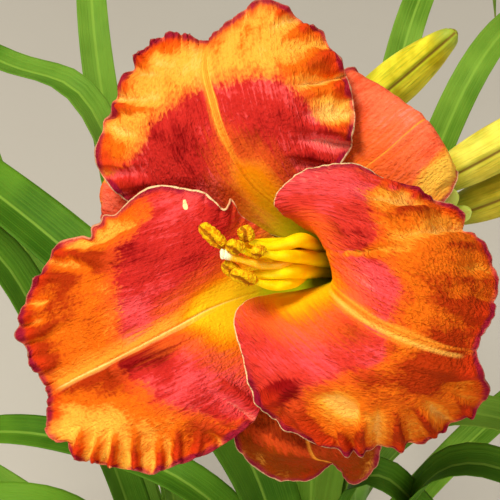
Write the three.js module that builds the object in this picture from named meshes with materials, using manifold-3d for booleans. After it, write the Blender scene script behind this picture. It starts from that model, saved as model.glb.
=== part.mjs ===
// A daylily in a plain terracotta pot: one open ruffled bloom, closed buds on a branched scape, and
// four fans of arching leaves. Millimetres, +Z up; the origin is the centre of the pot's underside.
import * as THREE from 'three';
import { mergeVertices } from 'three/addons/utils/BufferGeometryUtils.js';
import Module from 'manifold-3d';

const wasm = await Module();
wasm.setup();

// ---- Driving dimensions ---------------------------------------------------------------------
const clearance = 0.35; // between two pieces that rest on each other

const pot = {
  height: 180,
  rimRadius: 100,
  rimHeight: 28,
  rimStep: 5,
  footRadius: 66,
  wall: 8,
  floor: 12,
  drainRadius: 6,
  drainCircle: 34,
};
const soilLevel = 150;
const soilRelief = 2;
const crownDepth = 24; // how far a crown reaches below the soil
const scapeDepth = 40;

const bloomCentre = new THREE.Vector3(0, -40, 600);
const bloomTilt = THREE.MathUtils.degToRad(40); // the face looks forward and up
const eyeDistance = 420; // tepal outlines are drawn as seen from here, in front of the face

const petalThickness = 0.8;
const sepalThickness = 0.8;
const leafThickness = 0.8;
const keelDepth = 0.7; // extra thickness along a leaf's midrib
const leafRows = 12;

// ---- Geometry helpers -----------------------------------------------------------------------
const vector = ([x, y, z]) => new THREE.Vector3(x, y, z);
const smooth = (low, high, value) => THREE.MathUtils.smoothstep(value, low, high);

// A smooth curve through points, evenly shared between them.
function ribThrough(points) {
  return new THREE.CatmullRomCurve3(points, false, 'catmullrom', 0.5);
}

function cleaned(geometry) {
  geometry.deleteAttribute('normal');
  geometry.deleteAttribute('uv');
  return mergeVertices(geometry, 1e-4);
}

function toSolid(geometry) {
  const merged = cleaned(geometry);
  return new wasm.Manifold(new wasm.Mesh({
    numProp: 3,
    vertProperties: new Float32Array(merged.attributes.position.array),
    triVerts: new Uint32Array(merged.index.array),
  }));
}

function toGeometry(solid) {
  const mesh = solid.getMesh();
  const geometry = new THREE.BufferGeometry();
  geometry.setAttribute('position', new THREE.BufferAttribute(mesh.vertProperties, 3));
  geometry.setIndex(new THREE.BufferAttribute(mesh.triVerts, 1));
  return geometry;
}

const joined = (geometries) => toGeometry(
  geometries.map(toSolid).reduce((whole, next) => whole.add(next)));

// Round limb along a route, root to tip; radiusAt(t, angle) gives its thickness.
function limb(route, radiusAt, sides, steps) {
  const frames = route.computeFrenetFrames(steps, false);
  const geometry = new THREE.CylinderGeometry(1, 1, 1, sides, steps);
  const position = geometry.attributes.position;
  for (let i = 0; i < position.count; i++) {
    const t = position.getY(i) + 0.5;
    const step = Math.round(t * steps);
    const radius = radiusAt(t, Math.atan2(position.getZ(i), position.getX(i)));
    const point = route.getPointAt(t)
      .addScaledVector(frames.normals[step], position.getX(i) * radius)
      .addScaledVector(frames.binormals[step], -position.getZ(i) * radius);
    position.setXYZ(i, point.x, point.y, point.z);
  }
  return cleaned(geometry);
}

// Closes an upper and a lower grid of points, [row][column], into one thin solid. Both faces are
// split along the same diagonals, so that they never cross where the sheet is waved.
function closedSheet(upper, lower) {
  const rows = upper.length;
  const columns = upper[0].length;
  const index = [];
  const at = (face, row, column) => (face * rows + row) * columns + column;
  const quad = (a, b, c, d) => index.push(a, c, b, a, d, c);
  for (let row = 0; row < rows - 1; row++) {
    for (let column = 0; column < columns - 1; column++) {
      const corners = (face) => [at(face, row, column), at(face, row, column + 1),
        at(face, row + 1, column + 1), at(face, row + 1, column)];
      const [a, b, c, d] = corners(1);
      quad(...corners(0));
      index.push(a, b, c, a, c, d);
    }
  }
  for (let row = 0; row < rows - 1; row++) {
    const last = columns - 1;
    quad(at(0, row, 0), at(0, row + 1, 0), at(1, row + 1, 0), at(1, row, 0));
    quad(at(0, row + 1, last), at(0, row, last), at(1, row, last), at(1, row + 1, last));
  }
  for (let column = 0; column < columns - 1; column++) {
    const last = rows - 1;
    quad(at(0, 0, column + 1), at(0, 0, column), at(1, 0, column), at(1, 0, column + 1));
    quad(at(0, last, column), at(0, last, column + 1), at(1, last, column + 1), at(1, last, column));
  }
  const geometry = new THREE.BufferGeometry().setFromPoints([...upper.flat(), ...lower.flat()]);
  geometry.setIndex(index);
  return geometry;
}

// ---- The scene graph ------------------------------------------------------------------------
const daylily = new THREE.Group();
const bloomFrame = new THREE.Group(); // +Z out of the bloom's face, +Y up the face
bloomFrame.position.copy(bloomCentre);
bloomFrame.rotation.x = bloomTilt;
bloomFrame.updateMatrix();
daylily.add(bloomFrame);

const fromFace = (point) => vector(point).applyMatrix4(bloomFrame.matrix);

function place(name, geometry, color, roughness, parent = daylily) {
  geometry.computeVertexNormals();
  const mesh = new THREE.Mesh(geometry, new THREE.MeshStandardMaterial({ color, roughness }));
  mesh.name = name;
  parent.add(mesh);
}

// ---- Pot: thrown terracotta with a stepped rim and three drain holes ------------------------
const potSides = 40;
const wallSlope = (pot.rimRadius - pot.rimStep - pot.footRadius) / (pot.height - pot.rimHeight);
const outerRadius = (z) => pot.footRadius + wallSlope * z;
const innerRadius = (z) => outerRadius(z) - pot.wall;

function turned(profile) {
  const geometry = new THREE.LatheGeometry(
    profile.map(([radius, z]) => new THREE.Vector2(radius, z)), potSides);
  return geometry.rotateX(Math.PI / 2);
}

function upright(radius, bottom, top, x, y, sides) {
  return new THREE.CylinderGeometry(radius, radius, top - bottom, sides)
    .rotateX(Math.PI / 2)
    .translate(x, y, (bottom + top) / 2);
}

function potGeometry() {
  const bead = 3;
  const rimBottom = pot.height - pot.rimHeight;
  const mouthRadius = innerRadius(rimBottom) + 1;
  const body = toSolid(turned([
    [0, 0],
    [pot.footRadius - bead, 0],
    [pot.footRadius, bead],
    [outerRadius(rimBottom), rimBottom],
    [pot.rimRadius - 1, rimBottom + 2],
    [pot.rimRadius, rimBottom + 2 + bead],
    [pot.rimRadius, pot.height - bead],
    [pot.rimRadius - bead, pot.height],
    [mouthRadius + bead, pot.height],
    [mouthRadius, pot.height - bead],
    [innerRadius(rimBottom), rimBottom],
    [innerRadius(pot.floor), pot.floor],
    [0, pot.floor],
  ]));
  const drains = [90, 210, 330].map((degrees) => {
    const turn = THREE.MathUtils.degToRad(degrees);
    return toSolid(upright(pot.drainRadius, -1, pot.floor + 1,
      pot.drainCircle * Math.cos(turn), pot.drainCircle * Math.sin(turn), 12));
  });
  return toGeometry(drains.reduce((shell, drain) => shell.subtract(drain), body));
}

// ---- Leaf fans ------------------------------------------------------------------------------
// A leaf either follows a hand-set route (via), or rises and arches over by formula: it leaves the
// crown at `lean` from upright, turns through `arch` more, and heads for the compass angle `facing`.
const crown = { radius: 9.5, neck: 6.5, height: 22, sides: 12 };

const fans = [
  {
    name: 'leaf_fan_back_left',
    crown: [-28, 26],
    color: 0x6d9a35,
    leaves: [
      { facing: 140, width: 15, via: [[-38, 48, 330], [-56, 90, 510], [-101, 128, 519],
        [-190, 205, 478], [-270, 275, 390]] },
      { facing: 100, width: 15, via: [[-40, 66, 350], [-62, 130, 500], [-72, 205, 520],
        [-92, 290, 470], [-105, 350, 380]] },
      { facing: 120, width: 15, via: [[-58, 58, 330], [-112, 125, 440], [-140, 200, 462],
        [-170, 280, 390], [-190, 325, 310]] },
      { facing: 155, lean: 20, arch: 140, length: 340, width: 15 },
      { facing: 118, lean: 18, arch: 140, length: 400, width: 16 },
    ],
  },
  {
    name: 'leaf_fan_front_left',
    crown: [-30, -22],
    color: 0x5c8a2e,
    leaves: [
      { facing: 150, width: 20, via: [[-46, 8, 290], [-62, 26, 390], [-84, 46, 447],
        [-106, 64, 480], [-155, 95, 468], [-215, 126, 400], [-268, 150, 290]] },
      { facing: 176, width: 20, via: [[-44, -8, 300], [-72, 0, 366], [-112, 4, 378],
        [-180, 10, 350], [-245, 14, 280], [-285, 16, 200]] },
      { facing: 202, lean: 16, arch: 140, length: 430, width: 18 },
      { facing: 230, lean: 10, arch: 140, length: 470, width: 20 },
      { facing: 258, lean: 18, arch: 140, length: 360, width: 16 },
    ],
  },
  {
    name: 'leaf_fan_front_right',
    crown: [30, -22],
    color: 0x4f7f2a,
    leaves: [
      { facing: 135, width: 26, via: [[20, -22, 300], [2, -18, 440], [-37, 8, 497],
        [-95, 58, 515], [-160, 118, 500], [-222, 170, 430], [-262, 200, 340]] },
      { facing: 165, width: 18, via: [[14, -34, 330], [0, -26, 398], [-27, -10, 422],
        [-65, 10, 416], [-110, 24, 404], [-175, 38, 360], [-240, 50, 270]] },
      { facing: -30, width: 16, via: [[32, -20, 300], [38, -16, 412], [50, -12, 429],
        [70, -14, 404], [110, -24, 340], [146, -36, 250]] },
      { facing: -24, width: 18, via: [[44, -26, 300], [62, -16, 408], [86, -12, 438],
        [125, -26, 425], [170, -50, 375], [215, -80, 270]] },
      { facing: 278, lean: 12, arch: 140, length: 440, width: 19 },
      { facing: 304, lean: 18, arch: 140, length: 380, width: 17 },
      { facing: 326, lean: 14, arch: 145, length: 420, width: 18 },
    ],
  },
  {
    name: 'leaf_fan_back_right',
    crown: [30, 34],
    color: 0x74a33c,
    leaves: [
      { facing: 65, width: 15, via: [[44, 76, 350], [62, 142, 494], [88, 212, 508],
        [122, 290, 450], [146, 345, 350]] },
      { facing: 55, width: 15, via: [[54, 76, 370], [86, 120, 505], [132, 188, 500],
        [186, 262, 420], [215, 310, 330]] },
      { facing: -10, width: 17, via: [[48, 38, 300], [72, 30, 395], [98, 22, 420],
        [150, 8, 400], [210, -8, 330], [255, -20, 240]] },
      { facing: 354, lean: 24, arch: 130, length: 360, width: 17 },
      { facing: 30, lean: 16, arch: 140, length: 440, width: 17 },
      { facing: 88, lean: 12, arch: 140, length: 470, width: 16 },
    ],
  },
];

function archRoute(start, { facing, lean, arch, length }) {
  const steps = 12;
  const heading = THREE.MathUtils.degToRad(facing);
  const points = [start];
  for (let i = 0; i < steps; i++) {
    const tilt = THREE.MathUtils.degToRad(lean + arch * ((i + 0.5) / steps) ** 1.6);
    const step = new THREE.Vector3(
      Math.sin(tilt) * Math.cos(heading), Math.sin(tilt) * Math.sin(heading), Math.cos(tilt));
    points.push(points[i].clone().addScaledVector(step, length / steps));
  }
  return ribThrough(points);
}

// Strap leaf: a shallow V in section, sheathing at the root, widest at a third, drawn out to a point.
function leafGeometry(start, leaf) {
  const route = leaf.via ? ribThrough([start, ...leaf.via.map(vector)]) : archRoute(start, leaf);
  const heading = THREE.MathUtils.degToRad(leaf.facing);
  const level = new THREE.Vector3(-Math.sin(heading), Math.cos(heading), 0);
  const upper = [];
  const lower = [];
  for (let row = 0; row <= leafRows; row++) {
    const t = row / leafRows;
    const centre = route.getPointAt(t);
    const along = route.getTangentAt(t);
    const across = level.clone().addScaledVector(along, -level.dot(along)).normalize();
    const up = along.clone().cross(across);
    const sheath = 0.55 + 0.45 * smooth(0, 0.3, t);
    const taper = 1 - Math.max(0, (t - 0.4) / 0.6) ** 1.8;
    const halfWidth = Math.max(0.5 * leaf.width * sheath * taper, 0.5);
    const fold = halfWidth * (0.55 - 0.25 * t);
    const edges = [-1, 0, 1].map((side) => centre.clone()
      .addScaledVector(across, side * halfWidth)
      .addScaledVector(up, Math.abs(side) * fold));
    upper.push(edges);
    lower.push(edges.map((point, i) => point.clone()
      .addScaledVector(up, -leafThickness - (i === 1 ? keelDepth * taper : 0))));
  }
  return closedSheet(upper, lower);
}

function fanGeometry({ crown: [x, y], leaves }) {
  const bottom = soilLevel - crownDepth + clearance;
  const stock = limb(
    ribThrough([[x, y, bottom], [x, y, soilLevel], [x, y, soilLevel + crown.height]].map(vector)),
    (t) => THREE.MathUtils.lerp(crown.radius, crown.neck, smooth(0.4, 1, t)), crown.sides, 4);
  const blades = leaves.map((leaf) => {
    const heading = THREE.MathUtils.degToRad(leaf.facing);
    const offset = crown.neck * 0.35;
    return leafGeometry(
      vector([x + offset * Math.cos(heading), y + offset * Math.sin(heading), soilLevel]), leaf);
  });
  return joined([stock, ...blades]);
}

// ---- Scape: flower stem, side branch, pedicels, bracts and young green buds -----------------
const scapeFoot = [32, 6];
const scapeTop = fromFace([61, 10, -68]);
const scapeRadius = { foot: 4.2, top: 3.1 };
const branchRadius = { root: 2.6, end: 2.2 };
const pedicelRadius = 1.9;
const knobRadius = 4.4; // where the pedicels meet

// The face-frame points where pedicels end, and the way they point.
const aim = (direction) => vector(direction).normalize();
const seats = {
  bud_1: { end: [35.3, 47, -114.6], axis: aim([0.55, 0.43, 0.72]) },
  bud_2: { end: [58.5, 21, -64], axis: aim([0.78, 0.45, 0.43]) },
  bud_3: { end: [66, 11.5, -77], axis: aim([0.8, 0.33, 0.5]) },
  bloom: { end: [54, 5, -69], axis: aim([-0.75, -0.45, 0.48]) },
};

const mainStem = ribThrough([
  vector([...scapeFoot, soilLevel - scapeDepth + clearance]),
  vector([...scapeFoot, soilLevel]),
  vector([33, 7, 200]),
  vector([40, 11, 290]),
  vector([50, 14, 400]),
  scapeTop,
]);

function stemLimb(points, root, end, steps = 6) {
  return limb(ribThrough(points), (t) => THREE.MathUtils.lerp(root, end, t), 7, steps);
}

function pedicel({ end, axis }) {
  const tip = fromFace(end);
  const root = scapeTop.clone();
  const way = axis.clone().transformDirection(bloomFrame.matrix);
  return stemLimb([root, tip.clone().addScaledVector(way, -4), tip], pedicelRadius, pedicelRadius, 5);
}

// A straight spindle from root to tip; outline(t) is its share of the full width.
function spindle(root, tip, width, outline, sides, steps) {
  return limb(ribThrough([root, root.clone().lerp(tip, 0.5), tip]),
    (t) => 0.5 * width * outline(t), sides, steps);
}

// Small leaf-like scale that clasps the stem where a branch leaves it.
function bract(root, tip, width) {
  return spindle(root, tip, width, (t) => 0.45 + 0.55 * Math.sin(Math.PI * (0.15 + 0.8 * t)), 6, 5);
}

function youngBud(root, tip, width) {
  return spindle(root, tip, width,
    (t) => 0.3 + 0.7 * Math.sin(Math.PI * Math.min(0.95, 0.08 + 0.92 * t)) ** 0.6, 8, 6);
}

function scapeGeometry() {
  const fork = mainStem.getPointAt(0.78);
  const branchEnd = fromFace(seats.bud_1.end);
  const branchWay = seats.bud_1.axis.clone().transformDirection(bloomFrame.matrix);
  const bend = vector([54, 40, 506]);
  const knob = new THREE.SphereGeometry(knobRadius, 10, 6).translate(scapeTop.x, scapeTop.y, scapeTop.z);
  return joined([
    limb(mainStem, (t) => THREE.MathUtils.lerp(scapeRadius.foot, scapeRadius.top, t), 10, 14),
    knob,
    stemLimb([fork, bend, branchEnd.clone().addScaledVector(branchWay, -5), branchEnd],
      branchRadius.root, branchRadius.end, 9),
    ...[seats.bud_2, seats.bud_3, seats.bloom].map(pedicel),
    bract(fork.clone(), fork.clone().add(vector([-2, 20, 28])), 6),
    youngBud(scapeTop, fromFace([66.5, 19, -48]), 7),
    youngBud(scapeTop, fromFace([72, 12.5, -51]), 7),
    youngBud(bend, vector([62, 52, 528]), 5.5),
  ]);
}

// ---- Buds: spindle shaped, three sepals closed over three petals ----------------------------
const buds = [
  { name: 'bud_1', length: 62, width: 16.5, color: 0xb9c435 },
  { name: 'bud_2', length: 68, width: 15.5, color: 0xd9cf3c },
  { name: 'bud_3', length: 60, width: 14.5, color: 0xc3c63a },
];

function budGeometry({ name, length, width }) {
  const { end, axis } = seats[name];
  const root = vector(end).addScaledVector(axis, clearance);
  const tip = root.clone().addScaledVector(axis, length);
  const swell = (t) => Math.sin(Math.PI * Math.min(0.965, 0.06 + 0.94 * t ** 0.9)) ** 0.75;
  const outline = (t) => 0.24 + 0.76 * swell(t);
  return limb(ribThrough([root, root.clone().lerp(tip, 0.5), tip]),
    (t, angle) => 0.5 * width * outline(t) * (1 + 0.05 * Math.cos(3 * angle)), 12, 10);
}

// ---- Bloom ----------------------------------------------------------------------------------
const bloomAxis = aim([-0.53, 0.05, 0.85]); // out of the throat
const ringUp = new THREE.Vector3(0, 1, 0).addScaledVector(bloomAxis, -bloomAxis.y).normalize();
const ringRight = ringUp.clone().cross(bloomAxis);
const throat = new THREE.Vector3(20, -3, -22);
const funnelLength = 28;
const bloomBase = throat.clone().addScaledVector(bloomAxis, -funnelLength);
const flareStart = throat.clone().addScaledVector(bloomAxis, -8);

function ringPoint(centre, radius, degrees) {
  const turn = THREE.MathUtils.degToRad(degrees);
  return centre.clone()
    .addScaledVector(ringRight, radius * Math.cos(turn))
    .addScaledVector(ringUp, radius * Math.sin(turn));
}

// A point drawn as seen from the eye, put where it lies in the round.
function drawn([x, y, z]) {
  const spread = (eyeDistance - z) / eyeDistance;
  return new THREE.Vector3(x * spread, y * spread, z);
}

// Each tepal is drawn as rows of five points from the throat to the tip, from its one margin over
// the midrib (third) to its other margin. Two more rows run down the funnel to the floral tube.
const petals = [
  {
    name: 'petal_left',
    clock: 218,
    ruffle: { waves: 21, height: 2.3, phase: 0.4, sides: [1, 0.8, 0.5] },
    rows: [
      [[8, -30, -22], [-3, -26, -17], [-8, -15.5, -17], [-2, -3, -19], [2, 7, -22]],
      [[3, -46, -14], [-13, -37, -8], [-22, -22.5, -12], [-15, -5, -10], [-9, 13.5, -11]],
      [[-9, -57, -14], [-29, -46, -9], [-37, -30.5, -14], [-32, -7, -9], [-27, 18.5, -12]],
      [[-29, -64, -16], [-43, -51, -14], [-49, -36.5, -19], [-50, -14, -14], [-43, 7.5, -17]],
      [[-47, -61, -19], [-57.5, -54, -20], [-58.5, -42, -25], [-66.5, -22, -24], [-57, 0, -24]],
    ],
  },
  {
    name: 'petal_top',
    clock: 98,
    ruffle: { waves: 22, height: 2.3, phase: 1.9, sides: [1, 0.7, 1] },
    rows: [
      [[-8, 9, -24], [-4, 15, -20], [2, 18, -17], [10, 19, -17], [18, 16, -20]],
      [[-30, 12, -22], [-19, 24, -12], [-7, 32, -10], [8, 33, -9], [25, 22, -16]],
      [[-44, 24, -18], [-28, 36, -9], [-11, 44, -9], [9, 47, -6], [30, 34, -13]],
      [[-39.5, 43, -19], [-27, 49, -13], [-13, 53.5, -12], [6, 58, -9], [28, 50, -15]],
      [[-33, 56, -23], [-24, 62, -22], [-12, 61.5, -17], [4, 72.5, -15], [20, 63, -17]],
    ],
  },
  {
    name: 'petal_right',
    clock: 338,
    ruffle: { waves: 22, height: 2.1, phase: 3.1, sides: [0.45, 0.8, 0.9] },
    rows: [
      [[8, 12, -8], [19, 5.5, -4], [24, -10, -4], [13, -14.5, -6], [-2.5, -16, -10]],
      [[14, 22, -3], [28, 9, 6], [32, -17.5, 5], [17, -27, 4], [-2, -31, -3]],
      [[30, 24.3, -3], [40, 7, 11], [43, -23.5, 12], [25, -40, 8], [5, -47, -6]],
      [[46, 16.5, -6], [56, 2, 8], [56, -28, 10], [44, -47, 5], [26, -57.5, -7]],
      [[60, 12, -11], [71.5, -9, -4], [65.5, -29.5, 3], [68, -43, -6], [50, -56, -10]],
    ],
  },
];
const sepals = [
  {
    name: 'sepal_right',
    clock: 38,
    ruffle: { waves: 9, height: 0.8, phase: 0.7, sides: [1, 0.5, 1] },
    rows: [
      [[12, 26, -24], [20, 24, -21], [27, 17, -19], [31, 10, -20], [34, 2, -22]],
      [[22, 42, -22], [32, 37, -19], [40, 29, -17], [46, 19, -18], [49, 9, -22]],
      [[27, 52, -24], [40, 45, -20], [50, 37.5, -19], [56, 26, -19], [57, 15, -22]],
      [[31, 50.5, -31], [42, 43, -28], [51, 35, -27], [58, 27, -24], [60, 22, -25]],
      [[36, 43, -37], [43, 38, -37], [49, 32, -37], [54, 26, -33], [57, 24, -31]],
    ],
  },
  {
    name: 'sepal_lower',
    clock: 278,
    ruffle: { waves: 9, height: 1, phase: 2.2, sides: [1, 0.6, 1] },
    rows: [
      [[34, -28, -27], [26, -31, -26], [17, -32, -26], [8, -31, -28], [0, -29, -32]],
      [[38, -44, -24], [27, -48, -20], [16, -49, -19], [5, -48, -21], [-3, -46, -27]],
      [[38, -54, -25], [29, -58, -20], [18, -59, -18], [6, -58, -20], [-4, -56, -25]],
      [[37, -61, -30], [31, -62, -27], [22, -61, -25], [10, -62, -25], [2, -63, -28]],
      [[34, -66, -34], [29, -67.5, -34], [24, -61.5, -36], [18, -66, -33], [9, -67, -32]],
    ],
  },
  {
    name: 'sepal_left',
    clock: 158,
    ruffle: { waves: 9, height: 0.8, phase: 1.1, sides: [1, 0.6, 1] },
    rows: [
      [[-8, -6, -31], [-9, 2, -31], [-8, 9, -31], [-5, 14, -32], [-1, 18, -33]],
      [[-24, -4, -31], [-24, 6, -29], [-22, 14, -29], [-19, 21, -30], [-14, 27, -31]],
      [[-38, 4, -32], [-37, 11, -30], [-35, 18, -29], [-32, 25, -30], [-28, 31, -32]],
      [[-43, 10, -33], [-43, 15, -31], [-42, 20, -31], [-39, 25, -32], [-35, 30, -33]],
      [[-40, 14, -39], [-41, 17, -39], [-41, 20, -39], [-38, 23, -39], [-35, 26, -38]],
    ],
  },
];
const petalMould = { ring: 4.2, flare: 8, columns: 12, rows: 28, thickness: petalThickness };
const sepalMould = { ring: 5.6, flare: 11.5, columns: 8, rows: 14, thickness: sepalThickness };
const ringSpread = 50; // degrees either side of the tepal's own place on the ring

// Height of the ruffle over the smooth blade at u (margin to margin) and v (throat to tip). The
// waves stand on rays from the still heart of the blade, so their ridges meet the margin squarely.
function ruffleHeight(u, v, { waves, height, phase, sides }) {
  const heart = 0.4; // share of the way to the tip
  const aspect = 0.83; // half width to the length beyond the heart
  const across = 2 * u - 1;
  const along = (v - heart) / (1 - heart);
  const nearness = Math.hypot(across ** 3, Math.max(along, 0) ** 3) ** (1 / 3);
  const turn = Math.atan2(aspect * across, along);
  const [first, tip, last] = sides;
  const nearSide = turn < 0 ? first : last;
  const strength = THREE.MathUtils.lerp(tip, nearSide, smooth(0.5, 0.9, Math.abs(turn)));
  const growth = smooth(0.45, 1, nearness) ** 1.4 * smooth(0.12, 0.42, v);
  return height * strength * growth
    * Math.sin(waves * turn + phase + 0.8 * Math.sin(2 * turn + phase));
}

function tepalGeometry({ clock, rows, ruffle }, { ring, flare, columns, rows: steps, thickness }) {
  const ribs = rows[0].map((_, rib) => {
    const degrees = clock + ringSpread * (1 - rib / 2);
    return ribThrough([
      ringPoint(bloomBase, ring, degrees),
      ringPoint(flareStart, flare, degrees),
      ...rows.map((row) => drawn(row[rib])),
    ]);
  });
  const surface = (u, v) => ribThrough(ribs.map((rib) => rib.getPoint(v))).getPoint(u);
  const normalOf = (left, right, down, up) => up.clone().sub(down)
    .cross(right.clone().sub(left)).normalize();
  const small = 1e-3;
  const within = (value) => THREE.MathUtils.clamp(value, 0, 1);
  const grid = [];
  for (let row = 0; row <= steps; row++) {
    const v = row / steps;
    grid.push([]);
    for (let column = 0; column <= columns; column++) {
      const u = column / columns;
      const normal = normalOf(surface(within(u - small), v), surface(within(u + small), v),
        surface(u, within(v - small)), surface(u, within(v + small)));
      grid[row].push(surface(u, v).addScaledVector(normal, ruffleHeight(u, v, ruffle)));
    }
  }
  const side = (sign) => grid.map((line, row) => line.map((point, column) => {
    const normal = normalOf(
      line[Math.max(column - 1, 0)], line[Math.min(column + 1, columns)],
      grid[Math.max(row - 1, 0)][column], grid[Math.min(row + 1, steps)][column]);
    return point.clone().addScaledVector(normal, sign * thickness / 2);
  }));
  return closedSheet(side(1), side(-1));
}

function floralTubeGeometry() {
  const { end, axis } = seats.bloom;
  const root = vector(end).addScaledVector(axis, clearance);
  const lip = bloomBase.clone().addScaledVector(bloomAxis, -clearance - 0.1);
  const route = ribThrough([
    root,
    root.clone().addScaledVector(axis, 6),
    lip.clone().addScaledVector(bloomAxis, -9),
    lip,
  ]);
  return limb(route, (t) => 2.6 + 4 * smooth(0.55, 1, t), 12, 8);
}

// Stamens and pistil rise from the floral tube, lean out of the throat together and part again at
// their tips. `clock` is the place on the ring; the rest is the way out, and the anther's two ends.
const stamenRing = { base: 2.6, mouth: 3.6 };
const filamentRadius = { root: 1.05, end: 1.05 };
const antherRadius = { end: 0.8, middle: 1.6 };
const styleRadius = 0.65;
const stigmaRadius = 1.2;
const stamens = [
  { clock: 120, way: [[10, 1.4, -3.6], [1, 1.4, 2.5], [-5, 0.6, 5.4]],
    anther: [[-7.2, 0.8, 6.5], [-14.5, 7.4, 8]] },
  { clock: 0, way: [[12, -1.8, 2.5], [7, -1.6, 7.5]], anther: [[3.8, -0.6, 10], [0.4, -0.4, 12.4]] },
  { clock: 60, way: [[12, 1.1, 0.3], [5, 1.4, 5]], anther: [[-0.2, 2.6, 7.5], [-2.2, 7, 9]] },
  { clock: 180, way: [[10, -2, -3.6], [3, -1.8, 3.4]], anther: [[-2.2, 0, 9.6], [-6.8, 1.9, 12]] },
  { clock: 240, way: [[12, -8.8, -1.8], [6, -9.8, 2.6]], anther: [[1.8, -9.2, 6.5], [-5.6, -6.4, 9.8]] },
  { clock: 300, way: [[12, -6.2, 0.8], [4, -7, 2.6]], anther: [[-3.2, -7.4, 4.2], [-7.8, -3.6, 6.6]] },
];
const styleWay = [[11, -4, 1.5], [3, -4.4, 6.4], [-7.6, -1.2, 10]];

function fromTube(clock, way) {
  return ribThrough([
    ringPoint(bloomBase, clock === null ? 0 : stamenRing.base, clock ?? 0),
    ringPoint(throat, clock === null ? 0 : stamenRing.mouth, clock ?? 0),
    ...way.map(drawn),
  ]);
}

function stamenGeometry({ clock, way, anther: [root, tip] }) {
  const filament = limb(fromTube(clock, [...way, root]),
    (t) => THREE.MathUtils.lerp(filamentRadius.root, filamentRadius.end, t), 6, 9);
  const ends = [drawn(root), drawn(tip)];
  const sac = limb(ribThrough([ends[0], ends[0].clone().lerp(ends[1], 0.5), ends[1]]),
    (t) => THREE.MathUtils.lerp(antherRadius.end, antherRadius.middle, Math.sin(Math.PI * t)), 8, 4);
  return joined([filament, sac]);
}

function pistilGeometry() {
  const route = fromTube(null, styleWay);
  const stigma = route.getPointAt(1);
  return joined([
    limb(route, () => styleRadius, 6, 10),
    new THREE.SphereGeometry(stigmaRadius, 7, 5).translate(stigma.x, stigma.y, stigma.z),
  ]);
}

// ---- Soil: fills the pot to below the rim, with a plain hole for each crown and the scape ---
function soilGeometry() {
  const top = soilLevel;
  const bottom = pot.floor + clearance;
  const rim = (z) => innerRadius(z) - clearance;
  const rings = [1, 0.85, 0.6, 0.35, 0.15];
  const geometry = cleaned(turned([
    [0, bottom],
    [rim(bottom), bottom],
    ...rings.map((share) => [rim(top) * share, top]),
    [0, top],
  ]));
  const position = geometry.attributes.position;
  for (let i = 0; i < position.count; i++) {
    const [x, y, z] = [position.getX(i), position.getY(i), position.getZ(i)];
    if (z > top - 1 && Math.hypot(x, y) < rim(top) * 0.95) {
      position.setZ(i, z + soilRelief * Math.sin(0.21 * x + 1.3) * Math.cos(0.17 * y - 0.4 + 0.05 * x));
    }
  }
  const holes = [
    ...fans.map((fan) => upright(crown.radius + 0.5, top - crownDepth, top + 20, ...fan.crown, 16)),
    upright(scapeRadius.foot + 0.6, top - scapeDepth, top + 20, ...scapeFoot, 12),
  ];
  return toGeometry(holes.map(toSolid).reduce((whole, hole) => whole.subtract(hole), toSolid(geometry)));
}

// ---- Assembly -------------------------------------------------------------------------------
place('pot', potGeometry(), 0xb5653f, 0.85);
place('soil', soilGeometry(), 0x3a2a1f, 0.95);
for (const fan of fans) {
  place(fan.name, fanGeometry(fan), fan.color, 0.45);
}
place('scape', scapeGeometry(), 0x7fa845, 0.45);
for (const bud of buds) {
  place(bud.name, budGeometry(bud), bud.color, 0.4, bloomFrame);
}
place('floral_tube', floralTubeGeometry(), 0xc9c04a, 0.45, bloomFrame);
for (const petal of petals) {
  place(petal.name, tepalGeometry(petal, petalMould), 0xd8491c, 0.5, bloomFrame);
}
for (const sepal of sepals) {
  place(sepal.name, tepalGeometry(sepal, sepalMould), 0xdb5a35, 0.5, bloomFrame);
}
stamens.forEach((stamen, i) => {
  place(`stamen_${i + 1}`, stamenGeometry(stamen), 0xf2b90c, 0.4, bloomFrame);
});
place('pistil', pistilGeometry(), 0xf4d23c, 0.4, bloomFrame);

export default daylily;
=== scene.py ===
"""A daylily in bloom in a clay pot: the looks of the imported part, piece by piece, in metres."""

import math

import bpy
import numpy as np
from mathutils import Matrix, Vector, noise


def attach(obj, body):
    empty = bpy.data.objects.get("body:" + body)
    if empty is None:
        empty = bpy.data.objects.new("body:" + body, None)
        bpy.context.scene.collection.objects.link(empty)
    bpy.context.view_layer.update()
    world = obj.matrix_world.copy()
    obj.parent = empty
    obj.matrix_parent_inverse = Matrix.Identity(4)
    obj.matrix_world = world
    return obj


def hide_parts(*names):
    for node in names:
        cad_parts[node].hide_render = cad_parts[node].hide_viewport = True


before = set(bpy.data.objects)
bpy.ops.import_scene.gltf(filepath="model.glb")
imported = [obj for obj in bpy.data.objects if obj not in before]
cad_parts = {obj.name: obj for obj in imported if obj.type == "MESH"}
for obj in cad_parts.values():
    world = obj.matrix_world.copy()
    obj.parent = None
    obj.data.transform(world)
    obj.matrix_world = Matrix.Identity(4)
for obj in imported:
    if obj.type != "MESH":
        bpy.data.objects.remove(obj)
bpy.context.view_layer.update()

# ---- Studio ----------------------------------------------------------------------------------
# A pale plaster floor and plain soft light: one wide lamp overhead and a little to the left, and
# two weak ones from the sides. The camera looks down into the face of the open bloom.
mm = 0.001
bloom_centre = Vector((0, -40, 600)) * mm
bloom_tilt = math.radians(40)  # the face looks forward and up by this much from straight up
eye_distance = 420 * mm
view_width = 145 * mm  # what the camera takes in at the bloom


def dye(code):
    """A linear colour from a paint chart's code of six hexadecimal digits."""
    parts = [int(code[i : i + 2], 16) / 255 for i in (0, 2, 4)]
    return tuple(c / 12.92 if c <= 0.04045 else ((c + 0.055) / 1.055) ** 2.4 for c in parts) + (1,)


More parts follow.
